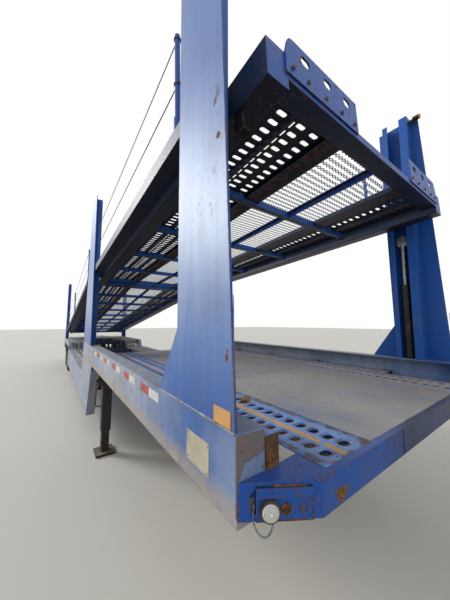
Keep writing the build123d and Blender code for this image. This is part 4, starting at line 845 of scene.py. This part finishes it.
# rust that has broken through the sill's paint, and the rubbed end of the side rail: (from the side, height)
BLOOM = [(0.3, 1.232), (0.312, 1.21), (0.322, 1.195), (0.338, 1.189), (0.36, 1.204), (0.378, 1.221),
         (0.372, 1.238), (0.345, 1.235), (0.318, 1.241)]
piece("sill_rust_bloom", [slab([(FRONT, y - HALF, z) for y, z in BLOOM], 0.0004)], brown_rust)
RAIL_END = [(0.001, 1.3), (0.012, 1.304), (0.03, 1.345), (0.07, 1.352), (0.118, 1.362), (0.118, 1.428),
            (0.001, 1.434)]
rail_end = slab([(at(CORNER), y - HALF, z) for y, z in RAIL_END], 0.0008)
piece("rubbed_rail_ends", paired(rail_end), rubbed_blue)

# Side rails: pairs of white and red tape, reflector plates at the posts' feet and a blank data plate
TAPE_LOW, TAPE_HIGH, WHITE_LONG, PAIR_LONG = 1.356, 1.406, 0.16, 0.33
PAIRS = [0.83 + 0.463 * i for i in range(6)]


def side_film(front, back, low, high, thick=0.0008):
    """Thin sheet on the right side plate between two places behind the sill and two heights."""
    return block((at(back), -HALF - thick, low), (at(front), -HALF, high))


TAPES = [("white", white_tape, 0, WHITE_LONG), ("red", red_tape, WHITE_LONG, PAIR_LONG)]
for colour, tape, first, last in TAPES:
    films = [side_film(start + first, start + last, TAPE_LOW, TAPE_HIGH) for start in PAIRS]
    piece(colour + "_side_tape", paired(*films), tape)
reflectors = [side_film(*edges, 0.003) for edges in ((0.17, 0.27, 1.443, 1.498), (4.02, 4.12, 1.46, 1.53))]
piece("orange_reflector_plates", paired(*reflectors), orange_tape)
piece("blank_data_plate", [side_film(0.304, 0.48, 1.233, 1.347, 0.002)], tin_plate)
rivets = [(at(place), -HALF - 0.001, height) for place in (0.314, 0.47) for height in (1.243, 1.337)]
piece("data_plate_rivets", [hexagons(rivets, (0, -1, 0), 0.004, 0.003)], worn_steel)

# Weld beads along the posts' feet in bright rubbed steel, which also paints the highlight along them, and the
# sill's painted weld seam
FEET = [(0.15, 0.82, NECK_TOP), (3.8, 4.79, NECK_TOP), (LENGTH - 1.35, LENGTH - 0.75, 1.12)]
foot_beads = [weld((at(front), -HALF, height), (at(back), -HALF, height), 0.0045)
              for front, back, height in FEET]
piece("post_foot_weld_beads_with_highlight", paired(*foot_beads), worn_steel)
SEAM_Y = -0.382
seam = weld((FRONT, SEAM_Y, SILL_BOTTOM + 0.004), (FRONT, SEAM_Y, SILL_TOP - 0.004), 0.0035)
piece("sill_weld_seam", [seam], sill_blue)

# Paint chipped off the right front post, and the rubbed front edges of the post and the rail
CHIP = [(-1.0, 0.1), (-0.5, -0.9), (0.4, -1.0), (1.0, -0.2), (0.6, 0.8), (-0.3, 1.0)]
CHIPPED = [(0.194, 1.669, 0.01, 0.014), (0.19, 1.692, 0.005, 0.008), (0.249, 2.518, 0.015, 0.014)]
chips = [slab([(at(place) + wide * x, -HALF, height + high * y) for x, y in CHIP], 0.0006)
         for place, height, wide, high in CHIPPED]
piece("chips_of_post_paint", chips, brown_rust)
RUBBED = [(CORNER, CORNER + 0.008, 1.192, 1.432), (0.151, 0.157, 1.445, 1.64), (0.151, 0.155, 1.64, 1.88)]
rubbed_edges = [side_film(*edge, 0.0006) for edge in RUBBED]
piece("rubbed_front_edges", paired(*rubbed_edges), rubbed_blue)

# Lamps at the post tops, facing forwards
POST_LENS = [(0.0225, 0.0), (0.0225, 0.006), (0.018, 0.012), (0.008, 0.015), (0.001, 0.0155)]
post_lens = turned(POST_LENS, (at(0.246), -(HALF - 0.05), POST_TOP - 0.04), (1, 0, 0), 24, True)
piece("post_lamp_lenses", paired(post_lens), pale_amber)

# Rope wheels at the heads of the lift rods: flanges and hub nuts
LIFT_Y = INNER - 0.1 + SHEET + 0.046
FLANGE = [(0.058, -0.003), (0.058, 0.002), (0.05, 0.003), (0.022, 0.004), (0.02, 0.01)]
for section, place, height in (("front", 0.462, 2.63), ("middle", 4.207, 2.4)):
    wheel = []
    for face in (-1, 1):
        wheel += [turned(FLANGE, (at(place), -LIFT_Y + face * 0.013, height), (0, face, 0), 28, True),
                  hexagons([(at(place), -LIFT_Y + face * 0.022, height)], (0, face, 0), 0.013, 0.01)]
    piece(f"rope_wheel_hubs_{section}", paired(*wheel), worn_steel, f"{section}_lift_rods")

# Yellow guide line on the platform, worn through in places
LINE_PARTS = [(0.04, 0.13), (0.15, 0.42), (0.435, 0.9), (0.96, 1.7), (1.73, 2.6), (2.68, 3.76)]
lines = [block((at(back), -0.8205, SILL_TOP - 0.0002), (at(front), -0.7935, SILL_TOP + 0.0006))
         for front, back in LINE_PARTS]
piece("yellow_guide_lines", paired(*lines), yellow_line)

# Stanchion ropes: steel rope drawn tight between the stanchions, with eyes round them
ROPE_Y, ROPE_HEIGHTS, EYE = -1.194, (0.655, 0.33), 0.0205


def stanchion_ropes(section, places):
    """Ropes of one deck section at two heights above its side beams' top, and an eye at each stanchion."""
    shapes = []
    for height in ROPE_HEIGHTS:
        shapes += [rod((start + 0.02, ROPE_Y, height), (end - 0.02, ROPE_Y, height), 0.004, 6)
                   for start, end in zip(places, places[1:])]
        shapes += [ring((place, ROPE_Y, height), (0, 0, 1), EYE, 0.0045, 16, 6) for place in places]
    piece(section + "_stanchion_ropes", on_deck(section, paired(*shapes)), wire_steel, section)


stanchion_ropes("upper_front", (0.64, 3.76))
stanchion_ropes("upper_rear", (0.3, 3.9, REAR_LONG - 0.42))

# Upper deck trim: bolts of the stop plates, and a bent bracket under the right beam
stop_places = [(-0.0085, -y, -0.06) for y in (0.43, 0.56, 0.7, 0.84, 0.95)]
stop_bolts = paired(hexagons(stop_places, (-1, 0, 0), 0.01, 0.007))
piece("stop_plate_bolts", on_deck("upper_front", stop_bolts), brown_rust, "upper_front")
HOOK = [(-1.09, -0.178), (-1.086, -0.262), (-1.04, -0.275)]
hook = [slab([(0.175, *upper), (0.235, *upper), (0.235, *lower), (0.175, *lower)], 0.005)
        for upper, lower in zip(HOOK, HOOK[1:])]
piece("bent_hook_bracket", on_deck("upper_front", hook), chassis_black, "upper_front")

# Tail lamps: amber outer lens caps and screws, and rubber gaskets behind the side marker lamps
cap = block((-FRONT - 0.002, -1.19, 0.708), (-FRONT, -1.126, 0.812))
piece("amber_indicator_caps", paired(cap), amber_lens)
screws = hexagons([(-FRONT, -y, z) for y in (1.01, 1.084) for z in (0.715, 0.805)], (-1, 0, 0), 0.004, 0.003)
piece("tail_lamp_screws", paired(screws), worn_steel)
MARKERS = [(3.05, 1.396), (5.165, 0.766), (7.12, 0.766), (WELL_END - 0.75, 0.766), (AXLES["front"], 1.03),
           (LENGTH - 0.45, 1.03)]
gaskets = [side_film(place - 0.057, place + 0.057, height - 0.026, height + 0.026, 0.002)
           for place, height in MARKERS]
piece("marker_lamp_gaskets", paired(*gaskets), rubber)


# Stage: pale floor, soft sun from behind the trailer and an even pale sky
FLOOR_HALF, FLOOR_LEVEL = 80, -0.001
ground = bpy.data.meshes.new("floor")
corners = [(x * FLOOR_HALF, y * FLOOR_HALF, FLOOR_LEVEL) for x, y in ((-1, -1), (1, -1), (1, 1), (-1, 1))]
ground.from_pydata(corners, [], [(0, 1, 2, 3)])
pale_floor, _, shader = new_material("pale_matt_floor")
feed(shader, {"Base Color": linear("cfcac0"), "Roughness": 0.9})
ground.materials.append(pale_floor)
new_object("floor", ground)


def lamp(name, toward, strength, spread):
    """Soft sun that shines from the direction toward, spread degrees wide."""
    light = new_object(name, bpy.data.lights.new(name, "SUN"))
    light.data.energy, light.data.angle = strength, radians(spread)
    light.rotation_euler = Vector(toward).to_track_quat("Z", "Y").to_euler()


lamp("key", (-0.74, -0.54, 0.44), 2.4, 22)
lamp("fill", (0.8, -0.5, 0.5), 0.5, 60)

# The sky lights the trailer softly, and what is seen of it, straight or in a glossy face, is white
world = scene.world = bpy.data.worlds.new("studio")
world.use_nodes = True
sky = partial(add, world.node_tree)
rays = sky("LightPath").node.outputs
seen = any_of(sky, rays["Is Camera Ray"], rays["Is Transmission Ray"], rays["Is Glossy Ray"])
soft, white = sky("Background", (linear("dfe6ee"), 0.65)), sky("Background", ((1, 1, 1, 1), 1.0))
feed(world.node_tree.nodes["World Output"], {"Surface": sky("MixShader", (seen, soft, white))})
